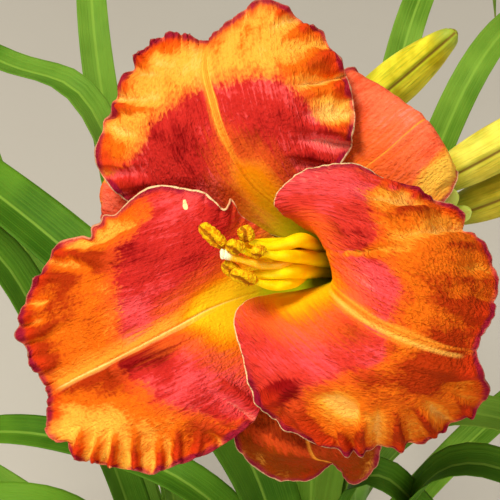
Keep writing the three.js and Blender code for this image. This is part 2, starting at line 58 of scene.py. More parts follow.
def start_finish(name, roughness, **sockets):
    """A new material and its tree of nodes, with its shader's constants set."""
    material = bpy.data.materials.new(name)
    material.use_nodes = True
    shader = material.node_tree.nodes["Principled BSDF"]
    shader.inputs["Roughness"].default_value = roughness
    for socket, value in sockets.items():
        shader.inputs[socket.replace("_", " ")].default_value = value
    return material, material.node_tree


def node(tree, kind, inputs, output=0, **settings):
    """Adds one node. Its inputs go by name or number, as values or as other nodes' outputs."""
    made = tree.nodes.new("ShaderNode" + kind)
    for name, value in settings.items():
        setattr(made, name, value)
    for socket, value in inputs.items():
        if isinstance(value, bpy.types.NodeSocket):
            tree.links.new(value, made.inputs[socket])
        else:
            made.inputs[socket].default_value = value
    return made.outputs[output]


def tint(tree, share, under, over, mode="MIX"):
    """Lays one colour over another by a share from 0 to 1. Either may be a paint chart's code."""
    under, over = (dye(colour) if isinstance(colour, str) else colour for colour in (under, over))
    return node(tree, "Mix", {0: share, 6: under, 7: over}, output=2,
                data_type="RGBA", blend_type=mode)


def place_on(tree, scales, where=None):
    """Object coordinates, or another place, stretched by one scale or by three."""
    if where is None:
        where = node(tree, "TexCoord", {}, output=3)
    return node(tree, "Mapping",
                {0: where, 3: scales if isinstance(scales, tuple) else (scales,) * 3})


def grain(tree, scales, where=None, detail=3.0, distortion=0.0, roughness=0.5):
    """Soft noise from 0 to 1 over a place, about one swell to each unit of its scales."""
    return node(tree, "TexNoise", {"Vector": place_on(tree, scales, where), "Scale": 1.0,
                                   "Detail": detail, "Distortion": distortion,
                                   "Roughness": roughness})


def paint(material, colour, height=None, depth=0.0):
    """Gives a material its colour, and a surface raised by a pattern, at most by depth."""
    tree = material.node_tree
    shader = tree.nodes["Principled BSDF"]
    tree.links.new(colour, shader.inputs["Base Color"])
    if height is not None:
        raised = node(tree, "Bump", {"Height": height, "Distance": depth, "Strength": 1.0})
        tree.links.new(raised, shader.inputs["Normal"])
    return material


camera_place = bloom_centre + Vector(
    (0, -math.sin(bloom_tilt), math.cos(bloom_tilt))) * eye_distance
bpy.ops.object.camera_add(location=camera_place, rotation=(bloom_tilt, 0, 0))
camera = bpy.context.object
camera.data.lens = camera.data.sensor_width * eye_distance / view_width
camera.data.clip_start = 0.01
bpy.context.scene.camera = camera
bpy.context.scene.view_settings.view_transform = "Standard"

bpy.ops.mesh.primitive_plane_add(size=16)
floor = bpy.context.object
floor.name = "floor"
plaster, tree = start_finish("pale_plaster", 0.9)
trowelled = grain(tree, 3, detail=4)
floor.data.materials.append(paint(plaster, tint(tree, trowelled, "c4bcab", "d0c9ba")))

for name, place, size, power, colour in (
    ("key_light", (-0.65, -0.1, 2.2), 0.5, 36, (1.0, 0.97, 0.92)),
    ("fill_light", (-0.2, -1.5, 0.8), 1.0, 12, (1.0, 0.98, 0.95)),
    ("side_light", (1.4, -0.3, 1.3), 1.0, 6, (0.98, 0.98, 1.0)),
):
    toward = (bloom_centre - Vector(place)).to_track_quat("-Z", "Y").to_euler()
    bpy.ops.object.light_add(type="AREA", location=place, rotation=toward)
    lamp = bpy.context.object
    lamp.name = name
    lamp.data.size = size
    lamp.data.energy = power
    lamp.data.color = colour
world = bpy.data.worlds.new("soft_room")
world.use_nodes = True
world.node_tree.nodes["Background"].inputs["Color"].default_value = (1.0, 0.97, 0.93, 1)
world.node_tree.nodes["Background"].inputs["Strength"].default_value = 0.26
bpy.context.scene.world = world
bpy.ops.object.select_all(action="DESELECT")

# ---- Pot -------------------------------------------------------------------------------------
# A plain unglazed clay pot with a stepped rim, thrown on a wheel. Fine rings from the thrower's
# fingers run round it, and lime from the water has dried to pale bloom on the clay.
pot_sides = 96
rest_radius, foot_radius = 63 * mm, 66 * mm  # the flat the pot rests on, and its rounded foot
shoulder_radius, rim_radius = 95 * mm, 100 * mm
wall_top, pot_height = 152 * mm, 180 * mm  # the rim begins at the wall's top
pot_wall, pot_floor = 8 * mm, 12 * mm
drain_radius, drain_circle = 6 * mm, 34 * mm


def wall_radius(height):
    """Outside radius of the leaning wall at a height."""
    return foot_radius + height * (shoulder_radius - foot_radius) / wall_top


def work(tree, operation, first, second=0.0):
    return node(tree, "Math", {0: first, 1: second}, operation=operation)


def plus(tree, first, second):
    return work(tree, "ADD", first, second)


def times(tree, first, second):
    return work(tree, "MULTIPLY", first, second)


def rise(tree, value, low, high, least=0.0, most=1.0):
    """Eases from least to most while the value goes from low to high."""
    return node(tree, "MapRange", {0: value, 1: low, 2: high, 3: least, 4: most},
                interpolation_type="SMOOTHSTEP")


def coats(tree, colour, *layers):
    """Lays colours over a first one in turn. A layer is a colour and the rise that is its share:
    a value, its low and its high, and the share's least and most unless they are 0 and 1."""
    for over, *span in layers:
        colour = tint(tree, rise(tree, *span), colour, over)
    return colour


def alone(piece):
    """Selects one piece and nothing else."""
    bpy.ops.object.select_all(action="DESELECT")
    piece.select_set(True)
    bpy.context.view_layer.objects.active = piece


def apply_all(piece):
    alone(piece)
    for modifier in list(piece.modifiers):
        bpy.ops.object.modifier_apply(modifier=modifier.name)


bpy.ops.mesh.primitive_circle_add(vertices=pot_sides, radius=rest_radius, fill_type="NGON")
pot = bpy.context.object
pot.name = "clay_pot"
bpy.ops.object.mode_set(mode="EDIT")
radius, height = rest_radius, 0
for next_radius, next_height in [
    (foot_radius, 3 * mm),
    (wall_radius(50 * mm), 50 * mm),
    (wall_radius(100 * mm), 100 * mm),
    (shoulder_radius, wall_top),
    (99 * mm, 154 * mm),
    (rim_radius, 157 * mm),
    (rim_radius, 177 * mm),
    (97 * mm, pot_height),
    (91 * mm, pot_height),
    (88 * mm, 177 * mm),
    (87 * mm, wall_top),
    (wall_radius(80 * mm) - pot_wall, 80 * mm),
    (wall_radius(pot_floor) - pot_wall, pot_floor),
]:
    bpy.ops.mesh.extrude_region_move(
        TRANSFORM_OT_translate={"value": (0, 0, next_height - height)})
    widen = next_radius / radius
    bpy.ops.transform.resize(value=(widen, widen, 1), center_override=(0, 0, next_height))
    radius, height = next_radius, next_height
bpy.ops.mesh.select_all(action="SELECT")
bpy.ops.mesh.normals_make_consistent(inside=False)
bpy.ops.object.mode_set(mode="OBJECT")

for degrees in (90, 210, 330):
    turn = math.radians(degrees)
    bpy.ops.mesh.primitive_cylinder_add(
        vertices=24, radius=drain_radius, depth=3 * pot_floor,
        location=(drain_circle * math.cos(turn), drain_circle * math.sin(turn), 0))
    punch = bpy.context.object
    hole = pot.modifiers.new("drain", "BOOLEAN")
    hole.operation = "DIFFERENCE"
    hole.object = punch
    apply_all(pot)
    bpy.data.objects.remove(punch)
soften = pot.modifiers.new("soften", "BEVEL")
soften.width = 1.2 * mm
soften.segments = 3
soften.angle_limit = math.radians(24)
apply_all(pot)
bpy.ops.object.shade_smooth_by_angle(angle=math.radians(40))

terracotta, tree = start_finish("terracotta", 0.88, Specular_IOR_Level=0.25)
thrown = grain(tree, (4, 4, 900), detail=2, distortion=0.2)
blotches = grain(tree, (22, 22, 14), detail=4, distortion=0.8)
grit = grain(tree, 1500, detail=2)
height_here = node(tree, "SeparateXYZ", {0: node(tree, "TexCoord", {}, output=3)}, output=2)
clay = coats(tree, "a8552f",
             ("c4734a", blotches, 0.35, 0.7),
             ("8f4526", thrown, 0.4, 0.7, 0, 0.3),
             ("8b4a2c", height_here, 0.012, 0.075, 0.55, 0))
lime = times(tree, rise(tree, blotches, 0.5, 0.78), rise(tree, height_here, 0.02, 0.17, 0.42, 0.2))
clay = coats(tree, tint(tree, lime, clay, "dcc3ad"), ("6e3a22", grit, 0.62, 0.72, 0, 0.4))
pot.data.materials.append(
    paint(terracotta, clay, plus(tree, thrown, times(tree, grit, 0.5)), 0.25 * mm))
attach(pot, "root")
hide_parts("pot")

# ---- Soil ------------------------------------------------------------------------------------
# Potting mix of peat, bark and a little perlite fills the pot to below its rim. The surface is
# watered in and crumbly, with loose crumbs and flakes of bark lying on it.
soil_level = 150 * mm
clearance = 0.35  # millimetres between pieces that rest on each other
soil_edge = wall_radius(soil_level) - pot_wall - clearance * mm
soil_bottom = pot_floor + clearance * mm
soil_around, soil_rings = 220, 70
crumb_count, flake_count, perlite_count = 520, 90, 46
scatter = np.random.default_rng(7)


def smooth(low, high, value):
    share = np.clip((np.asarray(value, float) - low) / (high - low), 0, 1)
    return share * share * (3 - 2 * share)


def mottle(points, size, shift=0.0):
    """Smooth bumps about `size` wide, from about -1 to 1, at each of an array of points."""
    points = np.asarray(points, float)
    flat = points.reshape(-1, 3) / size + shift
    return np.array([noise.noise(Vector(p)) for p in flat]).reshape(points.shape[:-1])


def flat_grid(name, columns, rows):
    """A new flat grid, with the row and the column of each of its points."""
    bpy.ops.mesh.primitive_grid_add(x_subdivisions=columns, y_subdivisions=rows, size=2)
    piece = bpy.context.object
    piece.name = name
    flat = np.empty(len(piece.data.vertices) * 3)
    piece.data.vertices.foreach_get("co", flat)
    steps = (flat.reshape(-1, 3)[:, :2] + 1) / 2 * (columns, rows)
    column, row = np.rint(steps).astype(int).T
    return piece, row, column


def keep(piece, measure, values):
    """Keeps a number for each point on the mesh, under the measure's own name."""
    piece.data.attributes.new(measure, "FLOAT", "POINT").data.foreach_set(
        "value", np.asarray(values, np.float32))


def skin(name, rings, **measures):
    """A closed piece over rings of points, [ring][place round it]. Each measure is an array of a
    number for each point."""
    rings = np.asarray(rings, float)
    ring_count, around = rings.shape[:2]
    piece, row, column = flat_grid(name, around, ring_count - 1)
    column %= around
    piece.data.vertices.foreach_set("co", rings[row, column].ravel())
    for measure, values in measures.items():
        keep(piece, measure, np.broadcast_to(values, (ring_count, around))[row, column])
    bpy.ops.object.mode_set(mode="EDIT")
    bpy.ops.mesh.remove_doubles(threshold=1e-7)
    bpy.ops.mesh.normals_make_consistent(inside=False)
    bpy.ops.object.mode_set(mode="OBJECT")
    bpy.ops.object.shade_smooth()
    return piece


def join(name, pieces):
    alone(pieces[0])
    for piece in pieces:
        piece.select_set(True)
    bpy.ops.object.join()
    pieces[0].name = name
    return pieces[0]


def soil_height(x, y):
    """The raked surface: broad swells and crumbly lumps."""
    spots = np.stack([x, y, np.zeros_like(x)], -1)
    swell = np.sin(210 * x + 1.3) * np.cos(170 * y - 0.4 + 50 * x)
    lumps = mottle(spots, 9 * mm) + 0.7 * mottle(spots, 3.5 * mm, 5)
    fall = smooth(1, 0.93, np.hypot(x, y) / soil_edge)
    return soil_level + (1.2 * swell + 0.9 * lumps) * mm * fall


turns = np.linspace(0, 2 * np.pi, soil_around, endpoint=False)
reaches = np.concatenate([[0, wall_radius(soil_bottom) - pot_wall - clearance * mm, soil_edge],
                          soil_edge * np.linspace(1, 0, soil_rings)[1:]])
x = reaches[:, None] * np.cos(turns)
y = reaches[:, None] * np.sin(turns)
z = soil_height(x, y)
z[:2] = soil_bottom
bed = skin("potting_soil", np.stack([x, y, z], -1))

bpy.ops.mesh.primitive_ico_sphere_add(subdivisions=1, radius=1)
ball = bpy.context.object
ball_points = np.array([point.co for point in ball.data.vertices])
ball_faces = np.array([face.vertices[:] for face in ball.data.polygons])
bpy.data.objects.remove(ball)


def crumb(size, flatten):
    """One loose lump: a small ball knocked out of round, lying where it fell."""
    angle, reach = scatter.uniform(0, 2 * math.pi), soil_edge * 0.96 * math.sqrt(scatter.random())
    spot = np.array([reach * math.cos(angle), reach * math.sin(angle)])
    points = ball_points * scatter.uniform(0.7, 1.2, (len(ball_points), 1))
    spin = scatter.uniform(0, 2 * math.pi)
    points *= size * np.array([1, scatter.uniform(0.55, 1), flatten])
    points[:, :2] = points[:, :2] @ np.array(
        [[math.cos(spin), math.sin(spin)], [-math.sin(spin), math.cos(spin)]])
    points[:, 2] += points[:, 0] * scatter.uniform(-0.3, 0.3)
    return points + [*spot, float(soil_height(spot[:1], spot[1:])[0]) + 0.3 * size * flatten]


def soil_finish(name, dark, light, size):
    material, tree = start_finish(name, 0.95, Specular_IOR_Level=0.2)
    specks = grain(tree, size, detail=6, roughness=0.7)
    return paint(material, coats(tree, dark, (light, specks, 0.35, 0.68)), specks, 0.8 * mm)


lumps = [crumb(scatter.uniform(0.7, 2.3) * mm, 0.8) for _ in range(crumb_count)]
lumps += [crumb(scatter.uniform(2.5, 6.5) * mm, 0.22) for _ in range(flake_count)]
lumps += [crumb(scatter.uniform(0.8, 1.9) * mm, 0.85) for _ in range(perlite_count)]
litter_mesh = bpy.data.meshes.new("litter")
litter_mesh.from_pydata(np.concatenate(lumps).tolist(), [], np.concatenate(
    [ball_faces + len(ball_points) * number for number in range(len(lumps))]).tolist())
colour_slots = np.repeat([0, 1, 2], [crumb_count, flake_count, perlite_count])
litter_mesh.polygons.foreach_set("material_index", np.repeat(colour_slots, len(ball_faces)))
litter = bpy.data.objects.new("litter", litter_mesh)
bpy.context.collection.objects.link(litter)
soil = join("potting_soil", [bed, litter])
soil.data.materials.clear()
soil.data.materials.append(soil_finish("peat", "1d130c", "4a3424", 420))
soil.data.materials.append(soil_finish("bark_flakes", "4a2d1a", "8a5c38", 300))
soil.data.materials.append(soil_finish("perlite", "c9c4b8", "efece4", 260))
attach(soil, "root")
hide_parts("soil")

# ---- Leaf fans -------------------------------------------------------------------------------
# Each fan is a crown with flat overlapping leaves that grow from it in two ranks. A leaf is a long
# strap folded along a keel, with fine veins side by side, and it arches over to a drawn-out point.
crown_radius, crown_core, crown_height = 9.5 * mm, 4 * mm, 22 * mm
crown_depth = (24 - clearance) * mm
leaf_offset = 2.3 * mm
leaf_edge = 0.35 * mm  # the least half width
sheath_wrap = 1.9  # radians that each half of a sheath reaches round its crown
crown_sides, leaf_rows, leaf_columns = 48, 84, 14
leaf_fans = {
    "leaf_fan_back_left": dict(crown=(-28, 26), greens=("447014", "729a30"), leaves=[
        (140, 15, [(-38, 48, 330), (-56, 90, 510), (-101, 128, 519), (-190, 205, 478),
                   (-270, 275, 390)]),
        (100, 15, [(-40, 66, 350), (-62, 130, 500), (-72, 205, 520), (-92, 290, 470),
                   (-105, 350, 380)]),
        (120, 15, [(-58, 58, 330), (-112, 125, 440), (-140, 200, 462), (-170, 280, 390),
                   (-190, 325, 310)]),
        (155, 15, (20, 140, 340)),
        (118, 16, (18, 140, 400))]),
    "leaf_fan_front_left": dict(crown=(-30, -22), greens=("3c6810", "649022"), leaves=[
        (150, 20, [(-46, 8, 290), (-62, 26, 390), (-84, 46, 447), (-106, 64, 480),
                   (-155, 95, 468), (-215, 126, 400), (-268, 150, 290)]),
        (176, 20, [(-44, -8, 300), (-72, 0, 366), (-112, 4, 378), (-180, 10, 350),
                   (-245, 14, 280), (-285, 16, 200)]),
        (202, 18, (16, 140, 430)),
        (230, 20, (10, 140, 470)),
        (258, 16, (18, 140, 360))]),
    "leaf_fan_front_right": dict(crown=(30, -22), greens=("345e0c", "5a861c"), leaves=[
        (135, 26, [(20, -22, 300), (2, -18, 440), (-37, 8, 497), (-95, 58, 515),
                   (-160, 118, 500), (-222, 170, 430), (-262, 200, 340)]),
        (165, 18, [(14, -34, 330), (0, -26, 398), (-27, -10, 422), (-65, 10, 416),
                   (-110, 24, 404), (-175, 38, 360), (-240, 50, 270)]),
        (-30, 16, [(32, -20, 300), (38, -16, 412), (50, -12, 429), (70, -14, 404),
                   (110, -24, 340), (146, -36, 250)]),
        (-24, 18, [(44, -26, 300), (62, -16, 408), (86, -12, 438), (125, -26, 425),
                   (170, -50, 375), (215, -80, 270)]),
        (278, 19, (12, 140, 440)),
        (304, 17, (18, 140, 380)),
        (326, 18, (14, 145, 420))]),
    "leaf_fan_back_right": dict(crown=(30, 34), greens=("487214", "7aa032"), leaves=[
        (65, 15, [(44, 76, 350), (62, 142, 494), (88, 212, 508), (122, 290, 450),
                  (146, 345, 350)]),
        (55, 15, [(54, 76, 370), (86, 120, 505), (132, 188, 500), (186, 262, 420),
                  (215, 310, 330)]),
        (-10, 17, [(48, 38, 300), (72, 30, 395), (98, 22, 420), (150, 8, 400),
                   (210, -8, 330), (255, -20, 240)]),
        (354, 17, (24, 130, 360)),
        (30, 17, (16, 140, 440)),
        (88, 16, (12, 140, 470))]),
}


def through(points, places):
    """A smooth curve through points, at places from 0 to 1 that share it out evenly by point."""
    points = np.asarray(points, float)
    line = np.concatenate([2 * points[:1] - points[1:2], points, 2 * points[-1:] - points[-2:-1]])
    spot = np.clip(places, 0, 1) * (len(points) - 1)
    first = np.minimum(spot.astype(int), len(points) - 2)
    share = (spot - first).reshape(-1, *[1] * (points.ndim - 1))
    before, start, end, after = (line[first + k] for k in range(4))
    leave, arrive = 0.5 * (end - before), 0.5 * (after - start)
    return (start + leave * share + (3 * (end - start) - 2 * leave - arrive) * share**2
            + (2 * (start - end) + leave + arrive) * share**3)


def stepped(points, places):
    """A smooth curve through points, at places from 0 to 1 measured along its length."""
    even = np.linspace(0, 1, 600)
    line = through(points, even)
    length = np.concatenate([[0], np.cumsum(np.linalg.norm(np.diff(line, axis=0), axis=1))])
    return through(points, np.interp(np.asarray(places) * length[-1], length, even))


def unit(vectors):
    vectors = np.asarray(vectors, float)
    return vectors / np.linalg.norm(vectors, axis=-1, keepdims=True)


def limb(name, points, radius_at, sides, places, **measures):
    """A round stem along a curve, closed at its ends. radius_at(places, turns) is its radius."""
    places = np.asarray(places, float)
    line = stepped(points, places)
    along = unit(np.gradient(line, axis=0))
    side = np.empty_like(along)
    side[0] = unit(np.cross(along[0], np.eye(3)[np.argmin(abs(along[0]))]))
    for i in range(1, len(along)):
        side[i] = unit(side[i - 1] - along[i] * (side[i - 1] @ along[i]))
    other = np.cross(along, side)
    turns = np.linspace(0, 2 * np.pi, sides, endpoint=False)
    radius = np.broadcast_to(radius_at(places[:, None], turns[None, :]), (len(places), sides))
    round_it = (side[:, None] * np.cos(turns)[None, :, None]
                + other[:, None] * np.sin(turns)[None, :, None])
    rings = line[:, None] + radius[..., None] * round_it
    rings = np.concatenate([np.repeat(line[:1, None], sides, 1), rings,
                            np.repeat(line[-1:, None], sides, 1)])
    ends = {key: np.concatenate([value[:1], value, value[-1:]]) for key, value in (
        (key, np.broadcast_to(value, (len(places), sides))) for key, value in measures.items())}
    return skin(name, rings, **ends)


def arched(start, facing, lean, arch, length):
    """Points of a leaf that rises, leaning a little, and turns over more and more to its tip."""
    steps = 12
    tilt = np.radians(lean + arch * ((np.arange(steps) + 0.5) / steps) ** 1.6)
    way = np.stack([np.sin(tilt) * math.cos(facing), np.sin(tilt) * math.sin(facing),
                    np.cos(tilt)], -1)
    return np.concatenate([[start], start + np.cumsum(way, axis=0) * length * mm / steps])


def strap_leaf(name, foot, facing, width, course, number, clasp, opens):
    """A blade in section: a soft V above, a keel below, thin at its margins. Its base is a sheath
    of radius `clasp` round the crown, which unrolls to the blade over the height `opens`."""
    outward = np.array([math.cos(facing), math.sin(facing), 0])
    start = foot + leaf_offset * outward
    points = (arched(start, facing, *course) if isinstance(course, tuple)
              else np.array([start, *np.array(course) * mm]))
    reach = np.linspace(0, 1, leaf_rows + 1)
    centre = stepped(points, reach)
    along = unit(np.gradient(centre, axis=0))
    level = np.array([-math.sin(facing), math.cos(facing), 0])
    across = unit(level - along * (along @ level)[:, None])
    up = np.cross(along, across)
    sheath = 0.55 + 0.45 * smooth(0, 0.3, reach)
    taper = 1 - np.clip((reach - 0.4) / 0.6, 0, 1) ** 1.8
    half_width = np.maximum(0.5 * width * mm * sheath * taper, leaf_edge)
    share = np.linspace(-1, 1, leaf_columns + 1)
    fold = (half_width * (0.55 - 0.25 * reach))[:, None] * (np.sqrt(share**2 + 0.012) - 0.11)
    ripple = 0.35 * mm * np.sin(reach * 34 + number)[:, None] * share**2 * np.sign(share)
    upper = (centre[:, None] + across[:, None] * (half_width[:, None] * share)[..., None]
             + up[:, None] * (fold + ripple)[..., None])
    keel = 0.7 * taper[:, None] * np.exp(-((share / 0.16) ** 2))
    thickness = (0.35 + 0.45 * (1 - share**4) + keel) * mm
    lower = upper - up[:, None] * thickness[..., None]
    turn = (sheath_wrap * share)[:, None]
    wrap = outward * np.cos(turn) + level * np.sin(turn)
    axis = np.concatenate([np.broadcast_to(foot[:2], (leaf_rows + 1, 2)), centre[:, 2:]], axis=1)
    rolled = smooth(opens, 0.2 * opens, centre[:, 2] - foot[2])[:, None, None]
    upper = upper + (axis[:, None] + wrap * clasp - upper) * rolled
    lower = lower + (axis[:, None] + wrap * (clasp + thickness[..., None]) - lower) * rolled
    loop = np.concatenate([upper, lower[:, ::-1]], axis=1)
    rings = np.concatenate([np.repeat(centre[:1, None], loop.shape[1], 1), loop,
                            np.repeat(loop[-1:].mean(1, keepdims=True), loop.shape[1], 1)])
    spread = half_width[:, None] * share / mm
    spread = np.concatenate([spread, spread[:, ::-1]], axis=1)
    spread = np.concatenate([spread[:1], spread, spread[-1:]])
    height = np.concatenate([[0], reach, [1]])[:, None]
    return skin(name, rings, spread=spread, reach=height, blade=float(number))


def start_tissue(name, roughness, gloss, clear, depth, **sockets):
    """A material for live tissue. The share `clear` of the light goes in, to a depth in metres."""
    return start_finish(name, roughness, Specular_IOR_Level=gloss, Subsurface_Weight=clear,
                        Subsurface_Scale=depth, **sockets)


def measured(tree, measure):
    """A number that is kept on the mesh for each of its points."""
    return node(tree, "Attribute", {}, output=2, attribute_name=measure)


def leaf_finish(name, deep, fresh):
    material, tree = start_tissue(name, 0.55, gloss=0.07, clear=0.08, depth=0.002)
    spread, reach, blade = (measured(tree, measure) for measure in ("spread", "reach", "blade"))
    strip = node(tree, "CombineXYZ", {0: spread, 1: times(tree, reach, 60), 2: blade})
    veins = grain(tree, (1.7, 0.05, 3.1), strip)
    cells = grain(tree, (5, 1.4, 3.1), strip, detail=2)
    clouds = grain(tree, 26)
    green = coats(tree, deep,
                  (fresh, clouds, 0.3, 0.7),
                  (fresh, veins, 0.42, 0.68, 0, 0.45),
                  (deep, cells, 0.55, 0.75, 0, 0.3),
                  ("8cb03c", work(tree, "ABSOLUTE", spread), 0.2, 0.9, 0.6, 0),  # along the keel
                  ("cfdc9a", reach, 0.0, 0.16, 0.85, 0),  # the pale sheath
                  ("a98a4a", plus(tree, reach, times(tree, clouds, 0.03)),
                   0.985, 1.005, 0, 0.8))  # the withered tip
    return paint(material, green, plus(tree, veins, times(tree, cells, 0.3)), 0.3 * mm)


for fan_name, fan in leaf_fans.items():
    foot = np.array([*(np.array(fan["crown"]) * mm), soil_level])
    stock_points = [foot + [0, 0, z] for z in (-crown_depth, 0, crown_height)]
    places = np.linspace(0, 1, 30)
    stock = limb(fan_name, stock_points, lambda t, turn: (
        crown_radius + (crown_core - crown_radius) * smooth(0.5, 1, t)) * (
        1 + 0.05 * np.cos(2 * turn)) * (1 - 0.5 * smooth(0.9, 1, t)),
        crown_sides, places, spread=8.0, reach=0.05 * places[:, None], blade=0.0)
    blades = [stock]
    for number, (degrees, width, course) in enumerate(fan["leaves"], 1):
        outer = number / len(fan["leaves"])
        blades.append(strap_leaf(
            f"{fan_name}_{number}", foot, math.radians(degrees), width, course, number,
            clasp=(1 - outer) * crown_core + outer * 0.9 * crown_radius,
            opens=(78 - 34 * outer) * mm))
    leaves = join(fan_name + "_blades", blades)
    leaves.data.materials.append(leaf_finish(fan_name + "_green", *fan["greens"]))
    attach(leaves, "root")
    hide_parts(fan_name)

# ---- Scape -----------------------------------------------------------------------------------
# The flower stem: smooth, round and leafless, with one side branch. Small clasping scales and
# young green buds sit where it forks, and short stalks carry the bloom and the grown buds.
scape_foot, scape_bottom = (32, 6), 110 + clearance
scape_radius = (4.2 * mm, 3.1 * mm)
branch_radius = (2.6 * mm, 2.2 * mm)
stalk_radius, knob_radius = 1.9 * mm, 4.4 * mm
stem_sides, spindle_sides = 22, 20
face_right = np.array([1, 0, 0])
face_up = np.array([0, math.cos(bloom_tilt), math.sin(bloom_tilt)])
face_out = np.array([0, -math.sin(bloom_tilt), math.cos(bloom_tilt)])


def on_face(point):
    """A point in metres, from millimetres to the right, up the face and out of it."""
    x, y, z = np.moveaxis(np.asarray(point, float), -1, 0)[..., None] * mm
    return np.array(bloom_centre) + x * face_right + y * face_up + z * face_out


def face_way(direction):
    x, y, z = unit(direction)
    return x * face_right + y * face_up + z * face_out


seats = {
    "bud_1": ((35.3, 47, -114.6), (0.55, 0.43, 0.72)),
    "bud_2": ((58.5, 21, -64), (0.78, 0.45, 0.43)),
    "bud_3": ((66, 11.5, -77), (0.8, 0.33, 0.5)),
    "bloom": ((54, 5, -69), (-0.75, -0.45, 0.48)),
}
scape_top = on_face((61, 10, -68))
stem_points = np.array([
    (*scape_foot, scape_bottom), (*scape_foot, 150), (33, 7, 200), (40, 11, 290),
    (50, 14, 400), scape_top / mm]) * mm


def stem_piece(name, points, root, end, steps, **measures):
    places = np.linspace(0, 1, steps)
    return limb(name, points, lambda t, turn: (root + (end - root) * t)
                * (1 + 0.015 * np.cos(11 * turn)), stem_sides, places, height=0.5, **measures)


def spindle(name, root, tip, width, outline, tone):
    """A straight bud or scale that swells and closes from root to tip."""
    places = np.linspace(0, 1, 26)
    return limb(name, [root, (root + tip) / 2, tip], lambda t, turn: 0.5 * width * mm
                * outline(t) * (1 + 0.06 * np.cos(3 * turn)), spindle_sides, places,
                height=tone + (1 - tone) * places[:, None])


def young_bud(root, tip, width):
    return spindle("young_bud", root, tip, width, lambda t: 0.3 * (1 - smooth(0.85, 1, t))
                   + 0.7 * np.sin(np.pi * np.minimum(0.995, 0.08 + 0.92 * t)) ** 0.6, 0.8)


def stalk(seat):
    end, way = on_face(seats[seat][0]), face_way(seats[seat][1])
    return stem_piece("stalk", [scape_top, end - 4 * mm * way, end], stalk_radius, stalk_radius, 14)


def bead(segments, rings, radius, place):
    """A small smooth ball, with its points given from the origin."""
    bpy.ops.mesh.primitive_uv_sphere_add(segments=segments, ring_count=rings, radius=radius,
                                         location=place)
    bpy.ops.object.transform_apply(location=True)
    bpy.ops.object.shade_smooth()
    return bpy.context.object


fork = stepped(stem_points, [0.78])[0]
bend = np.array([54, 40, 506]) * mm
branch_end, branch_way = on_face(seats["bud_1"][0]), face_way(seats["bud_1"][1])
knob = bead(segments=24, rings=14, radius=knob_radius, place=scape_top)
keep(knob, "height", np.full(len(knob.data.vertices), 0.6))
scape = join("scape_green", [
    stem_piece("stem", stem_points, *scape_radius, 90),
    knob,
    stem_piece("branch", [fork, bend, branch_end - 5 * mm * branch_way, branch_end],
               *branch_radius, 40),
    stalk("bud_2"), stalk("bud_3"), stalk("bloom"),
    spindle("scale", fork, fork + np.array([-2, 20, 28]) * mm, 6, lambda t: 0.45
            + 0.55 * np.sin(np.pi * (0.15 + 0.84 * t)) - 0.45 * smooth(0.7, 1, t), 0.5),
    young_bud(scape_top, on_face((66.5, 19, -48)), 7),
    young_bud(scape_top, on_face((72, 12.5, -51)), 7),
    young_bud(bend, np.array([62, 52, 528]) * mm, 5.5),
])
stem_green, tree = start_tissue("stem_green", 0.4, gloss=0.15, clear=0.1, depth=0.002)
streaks, clouds = grain(tree, (900, 900, 60)), grain(tree, (60, 60, 40))
green = coats(tree, "649432",
              ("8eb84c", clouds, 0.3, 0.7),
              ("a7c46c", streaks, 0.5, 0.7, 0, 0.5),
              ("e4f26a", measured(tree, "height"), 0.55, 0.9, 0, 0.9))
scape.data.materials.clear()
scape.data.materials.append(paint(stem_green, green, streaks, 0.12 * mm))
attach(scape, "root")
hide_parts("scape")

# ---- Buds ------------------------------------------------------------------------------------
# A grown bud is three sepals closed edge to edge over the petals. Their meeting edges show as three
# sunken brown seams that run up it, and the tip and the seams' sides stay green the longest.
bud_sides, bud_rows = 60, 80
buds = {
    "bud_1": dict(length=62, width=16.5, flesh=("c4b00c", "fff23c"), green="98a820"),
    "bud_2": dict(length=68, width=15.5, flesh=("d8c02a", "f8ec5c"), green="9a9e28"),
    "bud_3": dict(length=60, width=14.5, flesh=("b8a220", "d8c83c"), green="848a24"),
}


def bud_finish(name, flesh, green):
    material, tree = start_tissue(name, 0.45, gloss=0.1, clear=0.15, depth=0.003)
    seam, reach = measured(tree, "seam"), measured(tree, "reach")
    strip = node(tree, "CombineXYZ", {0: seam, 1: times(tree, reach, 60), 2: 0.0})
    veins, clouds = grain(tree, (1.3, 0.07, 1), strip), grain(tree, 90)
    pores = grain(tree, 1600, detail=2)
    skin_colour = coats(tree, flesh[0],
                        (flesh[1], clouds, 0.3, 0.7),
                        (green, veins, 0.45, 0.7, 0, 0.5))
    ends = plus(tree, rise(tree, reach, 0.05, 0.3, 0.6, 0), rise(tree, reach, 0.84, 0.99, 0, 0.8))
    skin_colour = coats(tree, tint(tree, ends, skin_colour, "7f9a3c"),
                        (green, plus(tree, seam, veins), 1.0, 3.0, 0.55, 0),
                        ("7c5a1e", seam, 0.15, 0.75, 0.85, 0))
    return paint(material, skin_colour, plus(tree, veins, times(tree, pores, 0.3)), 0.25 * mm)


def bud_outline(t):
    swell = np.sin(np.pi * np.minimum(0.985, 0.06 + 0.94 * t**0.9)) ** 0.75
    return (0.24 + 0.76 * swell) * np.sqrt(np.clip((1.0005 - t) / 0.035, 0, 1)) ** 0.6


def seam_distance(t, turn, half):
    """Millimetres round a bud of this half width to the nearest seam."""
    return abs((turn * 3 / (2 * np.pi)) % 1 - 0.5) * 2 * np.pi / 3 * half * bud_outline(t) / mm


def bud_radius(t, turn, half):
    seam = seam_distance(t, turn, half)
    groove = 0.5 * np.exp(-((seam / 0.55) ** 2)) - 0.22 * np.exp(-(((seam - 1.5) / 0.8) ** 2))
    ribs = 0.06 * np.cos(seam * 2.6)
    return (half * bud_outline(t) * (1 + 0.05 * np.cos(3 * turn))
            - (groove + ribs) * mm * smooth(0, 0.2, bud_outline(t)) * smooth(1, 0.93, t))


